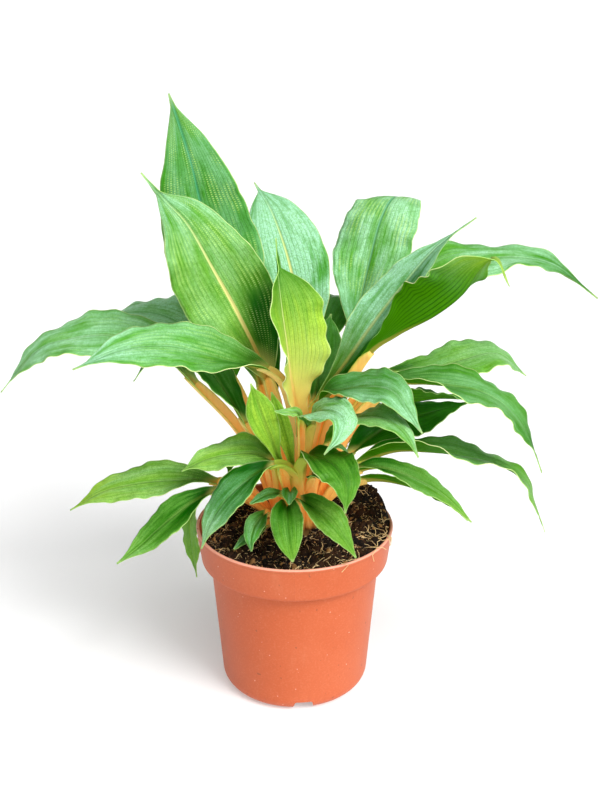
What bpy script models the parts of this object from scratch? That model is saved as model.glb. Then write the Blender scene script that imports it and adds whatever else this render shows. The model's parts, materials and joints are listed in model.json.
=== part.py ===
"""Potted mandarin plant: a clump of waved leaves on orange stalks, in soil in a plastic pot.

Metres, +Z up. The origin is the middle of the pot's underside, and the front is towards -Y.
Lengths in the constants and in the leaf list are millimetres, angles are degrees, and a
bearing is seen from above: 0 points to +X, 90 to +Y, 180 to -X and 270 to -Y.
"""

import math

import bmesh
import bpy
import numpy as np

MM = 0.001
GAP = 0.3                      # clear space between pieces that touch

# Pot
RIM_RADIUS = 60.0
POT_HEIGHT = 106.0
BAND_HEIGHT = 22.0
BAND_FOOT_RADIUS = 57.1
BODY_TOP_RADIUS = 51.8
BODY_FOOT_RADIUS = 45.0
WALL = 1.6
BASE_EDGE = 8.0
BASE_EDGE_STEPS = 4
FLOOR_HEIGHT = 7.0
CENTRE_FOOT_RADIUS = 20.0
POT_STEPS = 36
LIP_ROUND = 0.8
LIP_ROLL = 2.5                 # depth of the lip's thicker edge
STEP_ROUND = 1.4               # rounded edge under the band
DRAIN_HOLES = 6
DRAIN_RADIUS = 3.5
DRAIN_RING_RADIUS = 31.0
DRAIN_BEARING = 30.0
NOTCHES = 3
NOTCH_BEARING = -83.0
NOTCH_WIDTH = 12.0
NOTCH_HEIGHT = 6.0
NOTCH_DEPTH = 24.0
NOTCH_TOP_SHARE = 0.8          # width of the notch at its top, of that at its foot

# Soil and crown
SOIL_LEVEL = 102.5
SOIL_RISE_RIGHT = 4.5          # higher at +X and lower at -X, this much at the wall
SOIL_RISE_BACK = 1.5
SOIL_LUMP = 0.9
SOIL_LUMP_LENGTH = 5.0
SOIL_WALL_DROP = 2.5           # how much lower the soil lies at the wall
MOUND_X, MOUND_Y = 49.0, 29.0  # where the soil stands above the rim
MOUND_HEIGHT = 11.0
MOUND_RADIUS = 18.0
SOIL_RINGS = [28.0, 40.0, 51.0]
CROWN_X, CROWN_Y = -1.0, -2.0
CROWN_RADIUS = 17.0
CROWN_TOP = 119.0
CROWN_SHAPE = [(0.0, 0), (0.5, 1), (0.8, 6), (0.96, 13), (1.0, 21), (0.8, 39), (0.5, 43),
               (0.0, 43)]      # shares of the radius, and depths under the crown's top
CROWN_STEPS = 16

# Stalks and blades
BLADE_THICKNESS = 0.8
STALK_FOOT_RADIUS = 3.4
STALK_NECK_RADIUS = 2.3
STALK_NECK_SHARE = 0.36        # a stalk's radius at a small blade's neck, of the neck's width
NECK_GAP = 0.5                 # clear space between a stalk's end and its blade
STALK_STEP = 16.0              # length of a stalk's straight pieces
BLADE_ROW = 15.0               # length of a blade's rows of faces
BLADE_ROWS = (6, 14)           # fewest and most rows
BLADE_COLUMNS = 4
NECK_HALF_LEAST = 0.5
THREAD_HALF = 1.2              # half width of the thin tip where it starts
EDGE_SHIFT = 2.0               # how far one edge's waves are ahead of the other's (radians)
CURVE_SAMPLES = 240
SPAN_SAMPLES = 40
SHARP_ANGLE = 40.0


def leaf(name, bearing, foot, stalk, blade, width, roll, fold=(60, 10, 4), wave=(6, 2.5, 0.0),
         belly=0.45, taper=1.0, drip=0.06, neck=8.0, curl=0.12):
    """One leaf. Its midline runs in the upright plane at the bearing, from its foot through
    the stalk's and the blade's (reach, height, side) points; side is to the left of the plane
    and 0 where it is left out. Width is the whole width, belly the share of the blade's length
    where it is widest, and drip the share that is a thin tip. Roll and fold are given at the
    blade's neck, middle and tip, and wave as height in hundredths of the width, waves along
    the blade and phase."""
    return dict(name=name, bearing=bearing, foot=foot, stalk=stalk, blade=blade, width=width,
                roll=roll, fold=fold, wave=wave, belly=belly, taper=taper, drip=drip,
                neck=neck, curl=curl)


LEAVES = [
    # Tall leaves round the middle
    leaf("blade_tall_back_left", 150, (-4, 6), [(0, 108), (8, 150)],
         [(18, 190), (42, 245), (57, 291), (65, 321), (78, 356)], 57, (-60, -60, -60),
         belly=0.48, taper=1.1, drip=0.03, wave=(4, 2.5, 0.2)),
    leaf("blade_tall_left", 188, (-7, 1), [(0, 108), (2, 158)],
         [(9, 200), (24, 237), (39, 267), (52, 292), (64, 306), (76, 321)], 54,
         (-85, -85, -75), belly=0.44, taper=0.92, drip=0.10, wave=(5, 2.5, 0.6)),
    leaf("blade_tall_back", 100, (-2, 9), [(1, 108), (4, 155, -4)],
         [(10, 188, -8), (20, 226, -9), (30, 259, -4), (42, 286, 4), (60, 301, 12)], 47,
         (0, 0, 0), belly=0.62, taper=0.85, wave=(4, 2.0, 0.0)),
    leaf("blade_young_centre", 180, (-2, -5), [(-3, 108), (-5, 140, 1)],
         [(-5, 168), (0, 203, 4), (2, 223, 6), (5, 247, 7), (7, 266, 5), (8, 285, 4)], 56,
         (-47, -49, -38), fold=(40, 50, 32), belly=0.66, taper=0.9, drip=0.14, neck=15),
    leaf("blade_dark_back", 68, (9, 12), [(1, 108), (4, 154)],
         [(9, 178), (17, 197), (26, 213), (35, 225)], 25, (0, 0, 0), belly=0.55, taper=0.8,
         neck=6),
    leaf("blade_tall_right", 55, (5, 7), [(1, 108), (24, 168)],
         [(53, 209), (63, 231), (73, 255), (86, 276, 1), (105, 286, 3), (136, 277, 7)], 49,
         (35, 15, -14), belly=0.48, taper=0.62, wave=(4, 3.0, 0.3)),
    leaf("blade_long_right", 2, (6, 3), [(1, 108), (2, 153)],
         [(8, 183), (24, 208), (39, 231), (54, 252), (74, 276), (96, 293)], 29, (70, 62, 20),
         fold=(60, 25, 10), belly=0.52, taper=1.4, drip=0.10, wave=(7, 3.0, 0.1)),
    leaf("blade_arched_right", 335, (7, -4), [(1, 108), (15, 172)],
         [(37, 218), (55, 235), (76, 249), (91, 263), (100, 278), (108, 283), (116, 270)], 56,
         (-30, -32, -12), fold=(60, 42, 16), belly=0.66, taper=0.7, drip=0.16),
    leaf("blade_far_right", 18, (8, 5), [(1, 108), (21, 178)],
         [(45, 220), (69, 245), (88, 257), (111, 261), (134, 260), (160, 252), (190, 229)], 40,
         (8, 15, 70), belly=0.40, taper=1.5, drip=0.12, wave=(7, 2.5, 0.4)),
    # Leaves that reach out to the left
    leaf("blade_broad_left", 205, (-5, -9), [(0, 108), (-4, 164), (1, 196)],
         [(12, 209), (28, 216), (49, 225), (71, 233), (97, 234), (123, 227)], 37,
         (-30, -30, -25), wave=(5, 2.5, 0.0)),
    leaf("blade_far_left", 172, (-9, 4), [(1, 108), (22, 158)],
         [(51, 191), (74, 213), (99, 220), (125, 217), (147, 208), (172, 180)], 38,
         (-25, -25, -25), wave=(6, 3.0, 0.5)),
    leaf("blade_back_left", 150, (-9, 8), [(1, 108), (18, 157)],
         [(40, 196), (60, 214), (86, 222), (112, 219), (130, 207), (138, 186)], 40,
         (-20, -15, 0), belly=0.52, taper=0.8),
    leaf("blade_narrow_left", 187, (-10, 1), [(1, 108), (9, 151)],
         [(20, 171), (30, 191), (41, 209), (57, 218), (73, 214), (83, 201)], 25,
         (-40, -30, -10)),
    leaf("blade_curled_left", 190, (-10, -3), [(1, 108), (2, 138, 3)],
         [(5, 151, 7), (14, 158, 9), (25, 159, 9), (38, 158, 9), (48, 155, 9), (58, 150, 9)],
         25, (-25, -25, -20), fold=(45, 12, 8), wave=(9, 2.0, 0.3)),
    leaf("blade_low_left", 176, (-11, 1), [(1, 108), (18, 126)],
         [(36, 130), (52, 132), (71, 131), (89, 128), (108, 122), (128, 109)], 27,
         (-30, -30, -25)),
    leaf("blade_low_front_left", 200, (-11, -2), [(1, 108), (17, 125)],
         [(37, 133), (52, 129), (64, 122), (75, 114), (85, 106), (99, 97)], 21,
         (-30, -30, -30)),
    leaf("blade_hanging_left", 157, (-11, 3), [(1, 108), (25, 117)],
         [(42, 117), (53, 108), (60, 94), (60, 75), (57, 53)], 24, (-40, -60, -60)),
    # Leaves at the front
    leaf("blade_erect_left", 200, (-9, -6), [(0, 108), (-1, 132, 7)],
         [(3, 151, 11), (9, 169, 13), (16, 188, 15), (22, 207, 16)], 17, (-95, -95, -95),
         belly=0.66, taper=0.9, neck=7),
    leaf("blade_erect_front", 180, (-4, -9), [(0, 108), (-4, 133, 2)],
         [(-3, 148, 5), (0, 165, 7), (5, 184, 8), (9, 198, 9)], 10, (-85, -85, -85),
         belly=0.60, taper=0.8, neck=5),
    leaf("blade_mint_front", 315, (6, -8), [(1, 108), (6, 155, -3)],
         [(12, 177, -5), (27, 194, -16), (44, 201, -23), (54, 200, -26), (58, 194, -33),
          (57, 186, -43)], 25, (20, 10, 10)),
    leaf("blade_pale_strip", 180, (-1, -10), [(0, 108), (-4, 150, 8)],
         [(-4, 184, 14), (1, 189, 17), (6, 190, 19), (10, 191, 20)], 6, (-60, -20, -10),
         neck=4),
    leaf("blade_front_left", 205, (3, -13), [(0, 108), (2, 138, 3), (9, 151, 5)],
         [(19, 156, 7), (34, 153, 9), (49, 143, 9), (60, 129, 9), (66, 114, 9)], 22,
         (-20, -25, -20), neck=6),
    leaf("blade_front_right", 290, (4, -12), [(1, 108), (6, 140, -3)],
         [(14, 158, -3), (28, 166, 0), (42, 168, 3), (51, 163, 6), (56, 156, 6), (57, 144, 5)],
         28, (0, 0, 0)),
    leaf("blade_front_dark", 318, (12, -10), [(0, 108), (0, 131, -4)],
         [(6, 145, -8), (14, 153, -15), (22, 151, -16)], 10, (10, 10, 10), neck=5),
    leaf("blade_front_tongue", 265, (-1, -14), [(0, 108), (5, 120, -1)],
         [(12, 130, -2), (27, 131, -1), (37, 123, 1), (43, 110, 4)], 19, (0, 0, 0),
         taper=0.8, drip=0.03, neck=7),
    leaf("blade_front_low", 310, (4, -13), [(0, 108), (4, 126, -6)],
         [(10, 133, -9), (24, 135, -10), (38, 131, -9), (47, 122, -7), (54, 113, -5)], 19,
         (10, 15, 10), neck=7),
    leaf("blade_small_front_left", 235, (-10, -8), [(1, 108), (5, 116, 1)],
         [(15, 122, 2), (28, 121, 4), (35, 115, 6), (37, 109, 8)], 12, (-10, -10, -10), neck=5),
    leaf("blade_small_left", 215, (-11, -7), [(0, 107), (4, 111, 3)],
         [(11, 113, 6), (21, 113, 9), (29, 110, 9), (36, 106, 9)], 8, (-20, -20, -20), neck=4),
    leaf("blade_small_narrow", 205, (-5, -10), [(0, 108), (2, 128, 5)],
         [(7, 134, 7), (17, 137, 10), (28, 134, 11)], 8, (-20, -20, -20), neck=4),
    leaf("blade_small_tip", 268, (-1, -12), [(0, 108), (5, 130, -1)],
         [(10, 137, -1), (18, 140, -1), (27, 137, -1)], 9, (0, 0, 0), neck=5),
    # Leaves that reach out to the right
    leaf("blade_arch_front_right", 318, (7, -9), [(1, 108), (2, 146)],
         [(14, 192), (29, 203), (47, 210), (62, 211), (72, 203), (83, 192)], 28, (22, 22, 18)),
    leaf("blade_under_front_right", 314, (8, -11), [(1, 108), (7, 144)],
         [(18, 167), (28, 180), (40, 191), (56, 196), (70, 194), (78, 189), (84, 181)], 24,
         (0, 5, 10)),
    leaf("blade_mid_right_back", 12, (9, 2), [(1, 108), (22, 172)],
         [(45, 195), (61, 198), (78, 200), (95, 204), (115, 206), (135, 190)], 34, (15, 14, 15),
         belly=0.60, taper=0.8),
    leaf("blade_mid_right", 350, (9, -2), [(1, 108), (21, 168)],
         [(45, 197), (61, 201), (80, 201), (98, 199), (113, 191), (125, 177), (136, 151)], 34,
         (8, 8, 15), drip=0.1, wave=(6, 3.0, 0.2)),
    leaf("blade_mid_right_under", 8, (9, 2), [(1, 108), (22, 158)],
         [(42, 184), (53, 182), (63, 181), (79, 182), (97, 180)], 24, (-20, -20, 0),
         fold=(60, 40, 20)),
    leaf("blade_dark_right", 20, (10, 4), [(1, 108), (12, 128)],
         [(25, 144), (38, 154), (57, 163), (79, 166), (106, 169)], 32, (30, 25, 10)),
    leaf("blade_low_right_long", 355, (10, -1), [(1, 108), (12, 128)],
         [(27, 144), (48, 155), (70, 156), (91, 154), (111, 149), (127, 139), (134, 124),
          (141, 106)], 32, (-20, -5, 5), fold=(60, 20, 0), wave=(7, 3.0, 0.0)),
    leaf("blade_low_right", 340, (10, -4), [(1, 108), (14, 134)],
         [(28, 145), (39, 150), (53, 150), (68, 146), (82, 139), (98, 125)], 18, (12, 12, 15)),
    leaf("blade_low_right_under", 352, (10, -3), [(1, 108), (14, 127)],
         [(30, 136), (42, 138), (56, 136), (71, 131), (84, 124), (94, 115)], 16,
         (-30, -30, -30)),
    leaf("blade_small_right", 345, (8, -5), [(1, 108), (5, 142, -5)],
         [(10, 156, -7), (16, 163, -7), (21, 164, -7), (26, 160, -7)], 6, (10, 10, 10), neck=4),
    leaf("blade_low_back_right", 40, (9, 6), [(1, 108), (12, 128)],
         [(26, 144), (52, 157), (80, 155), (104, 138)], 28, (10, 5, 5)),
    # Leaves behind the clump
    leaf("blade_back_high", 75, (2, 12), [(1, 108), (10, 150)],
         [(24, 182), (50, 210), (80, 222), (108, 212), (128, 188)], 42, (0, 5, 0)),
    leaf("blade_back_mid", 112, (-4, 12), [(1, 108), (10, 146)],
         [(24, 172), (52, 190), (84, 188), (108, 166), (122, 138)], 40, (0, -5, 0)),
    leaf("blade_back_low", 88, (2, 13), [(1, 108), (9, 128)],
         [(22, 142), (46, 150), (74, 142), (94, 118)], 34, (0, 0, 0)),
    leaf("blade_back_low_left", 118, (-7, 11), [(1, 108), (10, 126)],
         [(24, 138), (46, 142), (68, 128), (84, 102)], 30, (-5, -5, 0)),
]


def smooth_curve(points, samples):
    """Points evenly spaced on a smooth curve through the given ones, and the share of its
    length at which each given point lies."""
    points = np.asarray(points, float)
    padded = np.vstack([2 * points[0] - points[1], points, 2 * points[-1] - points[-2]])
    pieces = []
    for a, b, c, d in zip(padded, padded[1:], padded[2:], padded[3:]):
        u = np.linspace(0, 1, SPAN_SAMPLES, endpoint=False)[:, None]
        pieces.append(0.5 * (2 * b + (c - a) * u + (2 * a - 5 * b + 4 * c - d) * u**2
                             + (3 * b - a - 3 * c + d) * u**3))
    dense = np.vstack(pieces + [points[-1:]])
    length = np.concatenate([[0], np.cumsum(np.linalg.norm(np.diff(dense, axis=0), axis=1))])
    share = np.linspace(0, length[-1], samples)
    even = np.column_stack([np.interp(share, length, dense[:, axis]) for axis in range(3)])
    return even, length[::SPAN_SAMPLES] / length[-1]


def eased(share, values):
    """Goes smoothly from the first value through the middle one to the last."""
    first, middle, last = values
    half = np.clip(share * 2, 0, 1)
    rest = np.clip(share * 2 - 1, 0, 1)
    return (first + (middle - first) * half**2 * (3 - 2 * half)
            + (last - middle) * rest**2 * (3 - 2 * rest))


def midline(row):
    """A leaf's midline with its frame: points, tangents, side and face vectors (mm), the
    blade's share at each point (below 0 on the stalk), and the leaf's length."""
    bearing = math.radians(row["bearing"])
    along = np.array([math.cos(bearing), math.sin(bearing), 0.0])
    left = np.array([-math.sin(bearing), math.cos(bearing), 0.0])
    foot = np.array([*row["foot"], 0.0])
    route = []
    for point in row["stalk"] + row["blade"]:
        reach, height, side = (*point, 0)[:3]
        route.append(foot + reach * along + side * left + np.array([0, 0, height]))
    centre, shares = smooth_curve(route, CURVE_SAMPLES)
    length = np.linalg.norm(np.diff(centre, axis=0), axis=1).sum()
    neck = shares[len(row["stalk"])]
    share = (np.linspace(0, 1, CURVE_SAMPLES) - neck) / (1 - neck)
    tangent = np.gradient(centre, axis=0)
    tangent /= np.linalg.norm(tangent, axis=1)[:, None]
    across = left - tangent * (tangent @ left)[:, None]
    across /= np.linalg.norm(across, axis=1)[:, None]
    upper = np.cross(tangent, across)
    roll = np.radians(np.where(share < 0, row["roll"][0] * np.clip(1 + share / max(neck, 0.01)
                               * (1 - neck), 0, 1), eased(share, row["roll"])))[:, None]
    side = np.cos(roll) * across + np.sin(roll) * upper
    face = np.cross(tangent, side)
    return centre, tangent, side, face, share, length


def half_width(row, share):
    """Half the blade's width, from the neck's to the widest place and down to the thin tip."""
    full = np.clip(share / (1 - row["drip"]), 0, 1)
    rise = row["taper"] * row["belly"] / (1 - row["belly"])
    outline = full**rise * (1 - full)**row["taper"]
    outline /= row["belly"]**rise * (1 - row["belly"])**row["taper"]
    stem = row["neck"] / 2 * (1 - share)**2 + NECK_HALF_LEAST
    thread = THREAD_HALF * np.clip((1 - share) / row["drip"], 0, 1)
    return np.sqrt((row["width"] / 2 * outline)**2 + stem**2 + thread**2)


def blade_point(row, line, share, across):
    """The blade's surface at shares of its length and of its half width (-1 to 1)."""
    centre, _, side, face, shares, _ = line
    middle = np.column_stack([np.interp(share, shares, centre[:, axis]) for axis in range(3)])
    sideways = np.column_stack([np.interp(share, shares, side[:, axis]) for axis in range(3)])
    upwards = np.column_stack([np.interp(share, shares, face[:, axis]) for axis in range(3)])
    half = half_width(row, share)
    fold = np.radians(eased(share, row["fold"]))
    height, count, phase = row["wave"]
    height = height * row["width"] / 100
    swing = np.sin(2 * np.pi * (count * share + phase) + np.where(across > 0, 0, EDGE_SHIFT))
    edge = across**2 * np.clip(np.sin(np.pi * share), 0, 1)
    lift = half * (np.abs(across) * np.sin(fold) - row["curl"] * across**2) + height * swing * edge
    return middle + sideways * (half * across * np.cos(fold))[:, None] + upwards * lift[:, None]


# Solids
def clear_scene():
    for obj in list(bpy.data.objects):
        bpy.data.objects.remove(obj, do_unlink=True)


def make_collection(name):
    collection = bpy.data.collections.new(name)
    bpy.context.scene.collection.children.link(collection)
    return collection


def make_material(name, colour, roughness):
    material = bpy.data.materials.new(name)
    material.use_nodes = True
    shader = material.node_tree.nodes["Principled BSDF"]
    shader.inputs["Base Color"].default_value = (*colour, 1.0)
    shader.inputs["Roughness"].default_value = roughness
    shader.inputs["Metallic"].default_value = 0.0
    return material


def add_object(name, mesh, material, collection):
    obj = bpy.data.objects.new(name, mesh)
    collection.objects.link(obj)
    if material:
        mesh.materials.append(material)
    return obj


def smooth_shading(obj):
    obj.data.shade_smooth()
    obj.data.set_sharp_from_angle(angle=math.radians(SHARP_ANGLE))


def applied(obj):
    """The object's own mesh, replaced by what its modifiers make of it."""
    graph = bpy.context.evaluated_depsgraph_get()
    mesh = bpy.data.meshes.new_from_object(obj.evaluated_get(graph))
    obj.modifiers.clear()
    obj.data = mesh
    return obj


def turned(name, profile, steps, material, collection):
    """A solid turned about Z from (radius, height) points that start and end on the axis and
    run down the outer side."""
    mesh = bpy.data.meshes.new(name)
    points = [(radius * MM, 0, height * MM) for radius, height in profile]
    edges = [(n, n + 1) for n in range(len(points) - 1)]
    mesh.from_pydata(points, edges, [])
    obj = add_object(name, mesh, material, collection)
    screw = obj.modifiers.new("turn", "SCREW")
    screw.steps = screw.render_steps = steps
    screw.use_merge_vertices = True
    screw.merge_threshold = 0.00001
    return applied(obj)


def pot_radius(height):
    """Outer radius of the pot's straight body at a height."""
    shoulder = POT_HEIGHT - BAND_HEIGHT
    return BODY_FOOT_RADIUS + (BODY_TOP_RADIUS - BODY_FOOT_RADIUS) * height / shoulder


def base_edge(inset):
    """The rounded edge between the pot's wall and its foot, moved inwards by the inset."""
    centre = pot_radius(BASE_EDGE) - BASE_EDGE
    points = []
    for step in range(BASE_EDGE_STEPS + 1):
        turn = math.radians(90 * step / BASE_EDGE_STEPS)
        reach = BASE_EDGE - inset
        points.append((centre + reach * math.cos(turn), BASE_EDGE - reach * math.sin(turn)))
    return points


def pot_profile():
    """The pot's outside from the lip down, with the recess round its centre foot."""
    shoulder = POT_HEIGHT - BAND_HEIGHT
    foot_inner = base_edge(0)[-1][0] - WALL
    under = [(x, z) for x, z in reversed(base_edge(WALL)) if z < FLOOR_HEIGHT - GAP]
    outside = [(RIM_RADIUS - LIP_ROUND, POT_HEIGHT), (RIM_RADIUS, POT_HEIGHT - LIP_ROUND),
               (RIM_RADIUS - GAP, POT_HEIGHT - LIP_ROLL), (BAND_FOOT_RADIUS, shoulder),
               (BODY_TOP_RADIUS + STEP_ROUND, shoulder - STEP_ROUND / 2),
               (BODY_TOP_RADIUS, shoulder - 2 * STEP_ROUND)]
    foot = [(foot_inner, 0)] + under + [(pot_radius(FLOOR_HEIGHT) - WALL, FLOOR_HEIGHT)]
    centre_foot = [(CENTRE_FOOT_RADIUS + GAP, FLOOR_HEIGHT), (CENTRE_FOOT_RADIUS, 0), (0, 0)]
    return outside + base_edge(0) + foot + centre_foot


def inner_profile(inset):
    """The pot's inside from the middle of its floor up to the lip, moved in by the inset."""
    shoulder = POT_HEIGHT - BAND_HEIGHT
    wall = WALL + inset
    floor = FLOOR_HEIGHT + wall
    return [(0, wall), (CENTRE_FOOT_RADIUS - wall, wall),
            (CENTRE_FOOT_RADIUS + GAP - wall, floor), (pot_radius(floor) - wall, floor),
            (BODY_TOP_RADIUS - wall, shoulder - STEP_ROUND),
            (BAND_FOOT_RADIUS - wall, shoulder + WALL), (RIM_RADIUS - wall, POT_HEIGHT)]


def inner_radius(height, inset):
    """Radius of the pot's inside at a height in its band, moved in by the inset."""
    radii, heights = zip(*inner_profile(inset)[-2:])
    return float(np.interp(height, heights, radii))


def make_pot(material, collection, cutters):
    profile = inner_profile(0) + pot_profile()
    pot = turned("pot", profile, POT_STEPS, material, collection)
    for number in range(DRAIN_HOLES):
        turn = math.radians(DRAIN_BEARING + 360 * number / DRAIN_HOLES)
        bpy.ops.mesh.primitive_cylinder_add(
            vertices=12, radius=DRAIN_RADIUS * MM, depth=4 * WALL * MM,
            location=(DRAIN_RING_RADIUS * MM * math.cos(turn),
                      DRAIN_RING_RADIUS * MM * math.sin(turn), (FLOOR_HEIGHT + WALL / 2) * MM))
        keep_cutter("drain_%d" % number, cutters)
    for number in range(NOTCHES):
        turn = math.radians(NOTCH_BEARING + 360 * number / NOTCHES)
        bpy.ops.mesh.primitive_cube_add(size=1)
        block = bpy.context.object.data
        for vertex in block.vertices:
            x, y, z = vertex.co
            flare = 1.0 if z < 0 else NOTCH_TOP_SHARE
            vertex.co = (x * NOTCH_DEPTH * MM, y * NOTCH_WIDTH * flare * MM,
                         NOTCH_HEIGHT * MM if z > 0 else -WALL * MM)
        bpy.context.object.location = (BODY_FOOT_RADIUS * MM * math.cos(turn),
                                       BODY_FOOT_RADIUS * MM * math.sin(turn), 0)
        bpy.context.object.rotation_euler.z = turn
        keep_cutter("notch_%d" % number, cutters)
    cut = pot.modifiers.new("openings", "BOOLEAN")
    cut.operand_type = "COLLECTION"
    cut.collection = cutters
    cut.operation = "DIFFERENCE"
    cut.solver = "EXACT"
    smooth_shading(applied(pot))
    return pot


def keep_cutter(name, cutters):
    cutter = bpy.context.object
    cutter.name = name
    for collection in list(cutter.users_collection):
        collection.objects.unlink(cutter)
    cutters.objects.link(cutter)
    cutter.hide_render = True
    cutter.display_type = "WIRE"


def soil_height(x, y):
    """Height of the soil at a place (mm): a slope with low lumps and a mound at one side."""
    u, v = x / SOIL_LUMP_LENGTH, y / SOIL_LUMP_LENGTH
    lumps = math.sin(0.7 * u + 1) * math.cos(0.8 * v) + math.sin(1.5 * u - v) + math.cos(2 * v + u)
    away = math.hypot(x - MOUND_X, y - MOUND_Y) / MOUND_RADIUS
    return (SOIL_LEVEL + SOIL_RISE_RIGHT * x / RIM_RADIUS + SOIL_RISE_BACK * y / RIM_RADIUS
            + SOIL_LUMP * lumps + MOUND_HEIGHT * math.exp(-away**2))


def make_soil(material, collection):
    """The soil that fills the pot, with a plain hole for the crown."""
    hole = CROWN_RADIUS + GAP
    hole_foot = CROWN_TOP - CROWN_SHAPE[-1][1] - GAP
    band_foot = inner_profile(GAP)[-2]
    edge = SOIL_LEVEL - SOIL_WALL_DROP
    below = (edge + band_foot[1]) / 2
    profile = [(0, hole_foot), (hole, hole_foot), (hole, SOIL_LEVEL)]
    profile += [(ring, SOIL_LEVEL) for ring in SOIL_RINGS]
    profile += [(inner_radius(edge, GAP), edge), (inner_radius(below, GAP), below)]
    profile += inner_profile(GAP)[-2::-1]
    soil = turned("soil", profile, POT_STEPS, material, collection)
    for vertex in soil.data.vertices:
        x, y, z = vertex.co / MM
        radius = math.hypot(x, y)
        if GAP < radius < hole + GAP and z > hole_foot - GAP:
            x, y = x + CROWN_X, y + CROWN_Y
        if z > edge - GAP:
            z += soil_height(x, y) - SOIL_LEVEL
        if radius > SOIL_RINGS[-1] + GAP and z > below + GAP:
            x, y = (value / radius * inner_radius(z, GAP) for value in (x, y))
        vertex.co = (x * MM, y * MM, z * MM)
    smooth_shading(soil)
    return soil


def make_stalks(material, collection, joined):
    """The crown and the stalks of all leaves, fused into one body."""
    profile = [(CROWN_RADIUS * share, CROWN_TOP - depth) for share, depth in CROWN_SHAPE]
    crown = turned("stalks", profile, CROWN_STEPS, material, collection)
    for vertex in crown.data.vertices:
        vertex.co.x += CROWN_X * MM
        vertex.co.y += CROWN_Y * MM
    for row in LEAVES:
        stalk_tube(row, joined)
    union = crown.modifiers.new("join", "BOOLEAN")
    union.operand_type = "COLLECTION"
    union.collection = joined
    union.operation = "UNION"
    union.solver = "MANIFOLD"
    applied(crown)
    for obj in list(joined.objects):
        bpy.data.objects.remove(obj, do_unlink=True)
    drop_scraps(crown.data)
    smooth_shading(crown)
    return crown


def drop_scraps(mesh):
    """Keeps the largest connected body of a mesh, in triangles."""
    shape = bmesh.new()
    shape.from_mesh(mesh)
    bmesh.ops.triangulate(shape, faces=shape.faces)
    left = set(shape.verts)
    bodies = []
    while left:
        body, front = set(), [left.pop()]
        while front:
            vertex = front.pop()
            body.add(vertex)
            for edge in vertex.link_edges:
                other = edge.other_vert(vertex)
                if other in left:
                    left.discard(other)
                    front.append(other)
        bodies.append(body)
    largest = max(bodies, key=len)
    scraps = [vertex for vertex in shape.verts if vertex not in largest]
    bmesh.ops.delete(shape, geom=scraps, context="VERTS")
    shape.to_mesh(mesh)
    shape.free()


def stalk_tube(row, joined):
    """A leaf's stalk as a closed tube from inside the crown to just short of the blade."""
    centre, _, _, _, share, length = midline(row)
    step = length / (CURVE_SAMPLES - 1)
    last = np.interp(0, share, np.arange(CURVE_SAMPLES)) - NECK_GAP / step
    count = max(3, round(last * step / STALK_STEP) + 1)
    picks = np.linspace(0, last, count)
    neck_radius = min(STALK_NECK_RADIUS, STALK_NECK_SHARE * row["neck"])
    foot_radius = neck_radius * STALK_FOOT_RADIUS / STALK_NECK_RADIUS
    curve = bpy.data.curves.new(row["name"] + "_stalk", "CURVE")
    curve.dimensions = "3D"
    curve.bevel_depth = MM
    curve.bevel_resolution = 1
    curve.use_fill_caps = True
    spline = curve.splines.new("POLY")
    spline.points.add(count - 1)
    for point, pick in zip(spline.points, picks):
        place = [np.interp(pick, np.arange(CURVE_SAMPLES), centre[:, axis]) for axis in range(3)]
        point.co = (*(value * MM for value in place), 1.0)
        point.radius = foot_radius + (neck_radius - foot_radius) * pick / last
    tube = bpy.data.objects.new(curve.name, curve)
    joined.objects.link(tube)
    graph = bpy.context.evaluated_depsgraph_get()
    mesh = bpy.data.meshes.new_from_object(tube.evaluated_get(graph))
    bpy.data.objects.remove(tube, do_unlink=True)
    shape = bmesh.new()
    shape.from_mesh(mesh)
    bmesh.ops.remove_doubles(shape, verts=shape.verts, dist=0.00001)
    bmesh.ops.recalc_face_normals(shape, faces=shape.faces)
    shape.to_mesh(mesh)
    shape.free()
    add_object(curve.name, mesh, None, joined)


def make_blade(row, material, collection):
    """A leaf's blade: an open waved sheet mapped from a grid, given its thickness."""
    line = midline(row)
    length = line[5] * (1 - np.interp(0, line[4], np.linspace(0, 1, CURVE_SAMPLES)))
    rows = int(np.clip(round(length / BLADE_ROW), *BLADE_ROWS))
    shape = bmesh.new()
    bmesh.ops.create_grid(shape, x_segments=rows, y_segments=BLADE_COLUMNS, size=1.0)
    share = np.array([(vertex.co.x + 1) / 2 for vertex in shape.verts])
    across = np.array([vertex.co.y for vertex in shape.verts])
    places = blade_point(row, line, share, across)
    for vertex, place in zip(shape.verts, places):
        vertex.co = place * MM
    bmesh.ops.triangulate(shape, faces=shape.faces)
    mesh = bpy.data.meshes.new(row["name"])
    shape.to_mesh(mesh)
    shape.free()
    blade = add_object(row["name"], mesh, material, collection)
    solid = blade.modifiers.new("thickness", "SOLIDIFY")
    solid.thickness = BLADE_THICKNESS * MM
    solid.offset = 0.0
    smooth_shading(applied(blade))
    return blade


def build():
    clear_scene()
    plant = make_collection("potted_mandarin_plant")
    cutters = make_collection("cutters")
    joined = make_collection("joined")
    plastic = make_material("pot_plastic", (0.62, 0.19, 0.09), 0.45)
    earth = make_material("soil", (0.03, 0.018, 0.01), 0.95)
    stalk_orange = make_material("stalk_orange", (0.80, 0.33, 0.09), 0.5)
    leaf_green = make_material("leaf_green", (0.10, 0.36, 0.08), 0.45)
    make_pot(plastic, plant, cutters)
    make_soil(earth, plant)
    make_stalks(stalk_orange, plant, joined)
    for row in LEAVES:
        make_blade(row, leaf_green, plant)


build()
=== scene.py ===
import json
import math

import bpy
import numpy as np
from mathutils import Matrix

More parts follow.
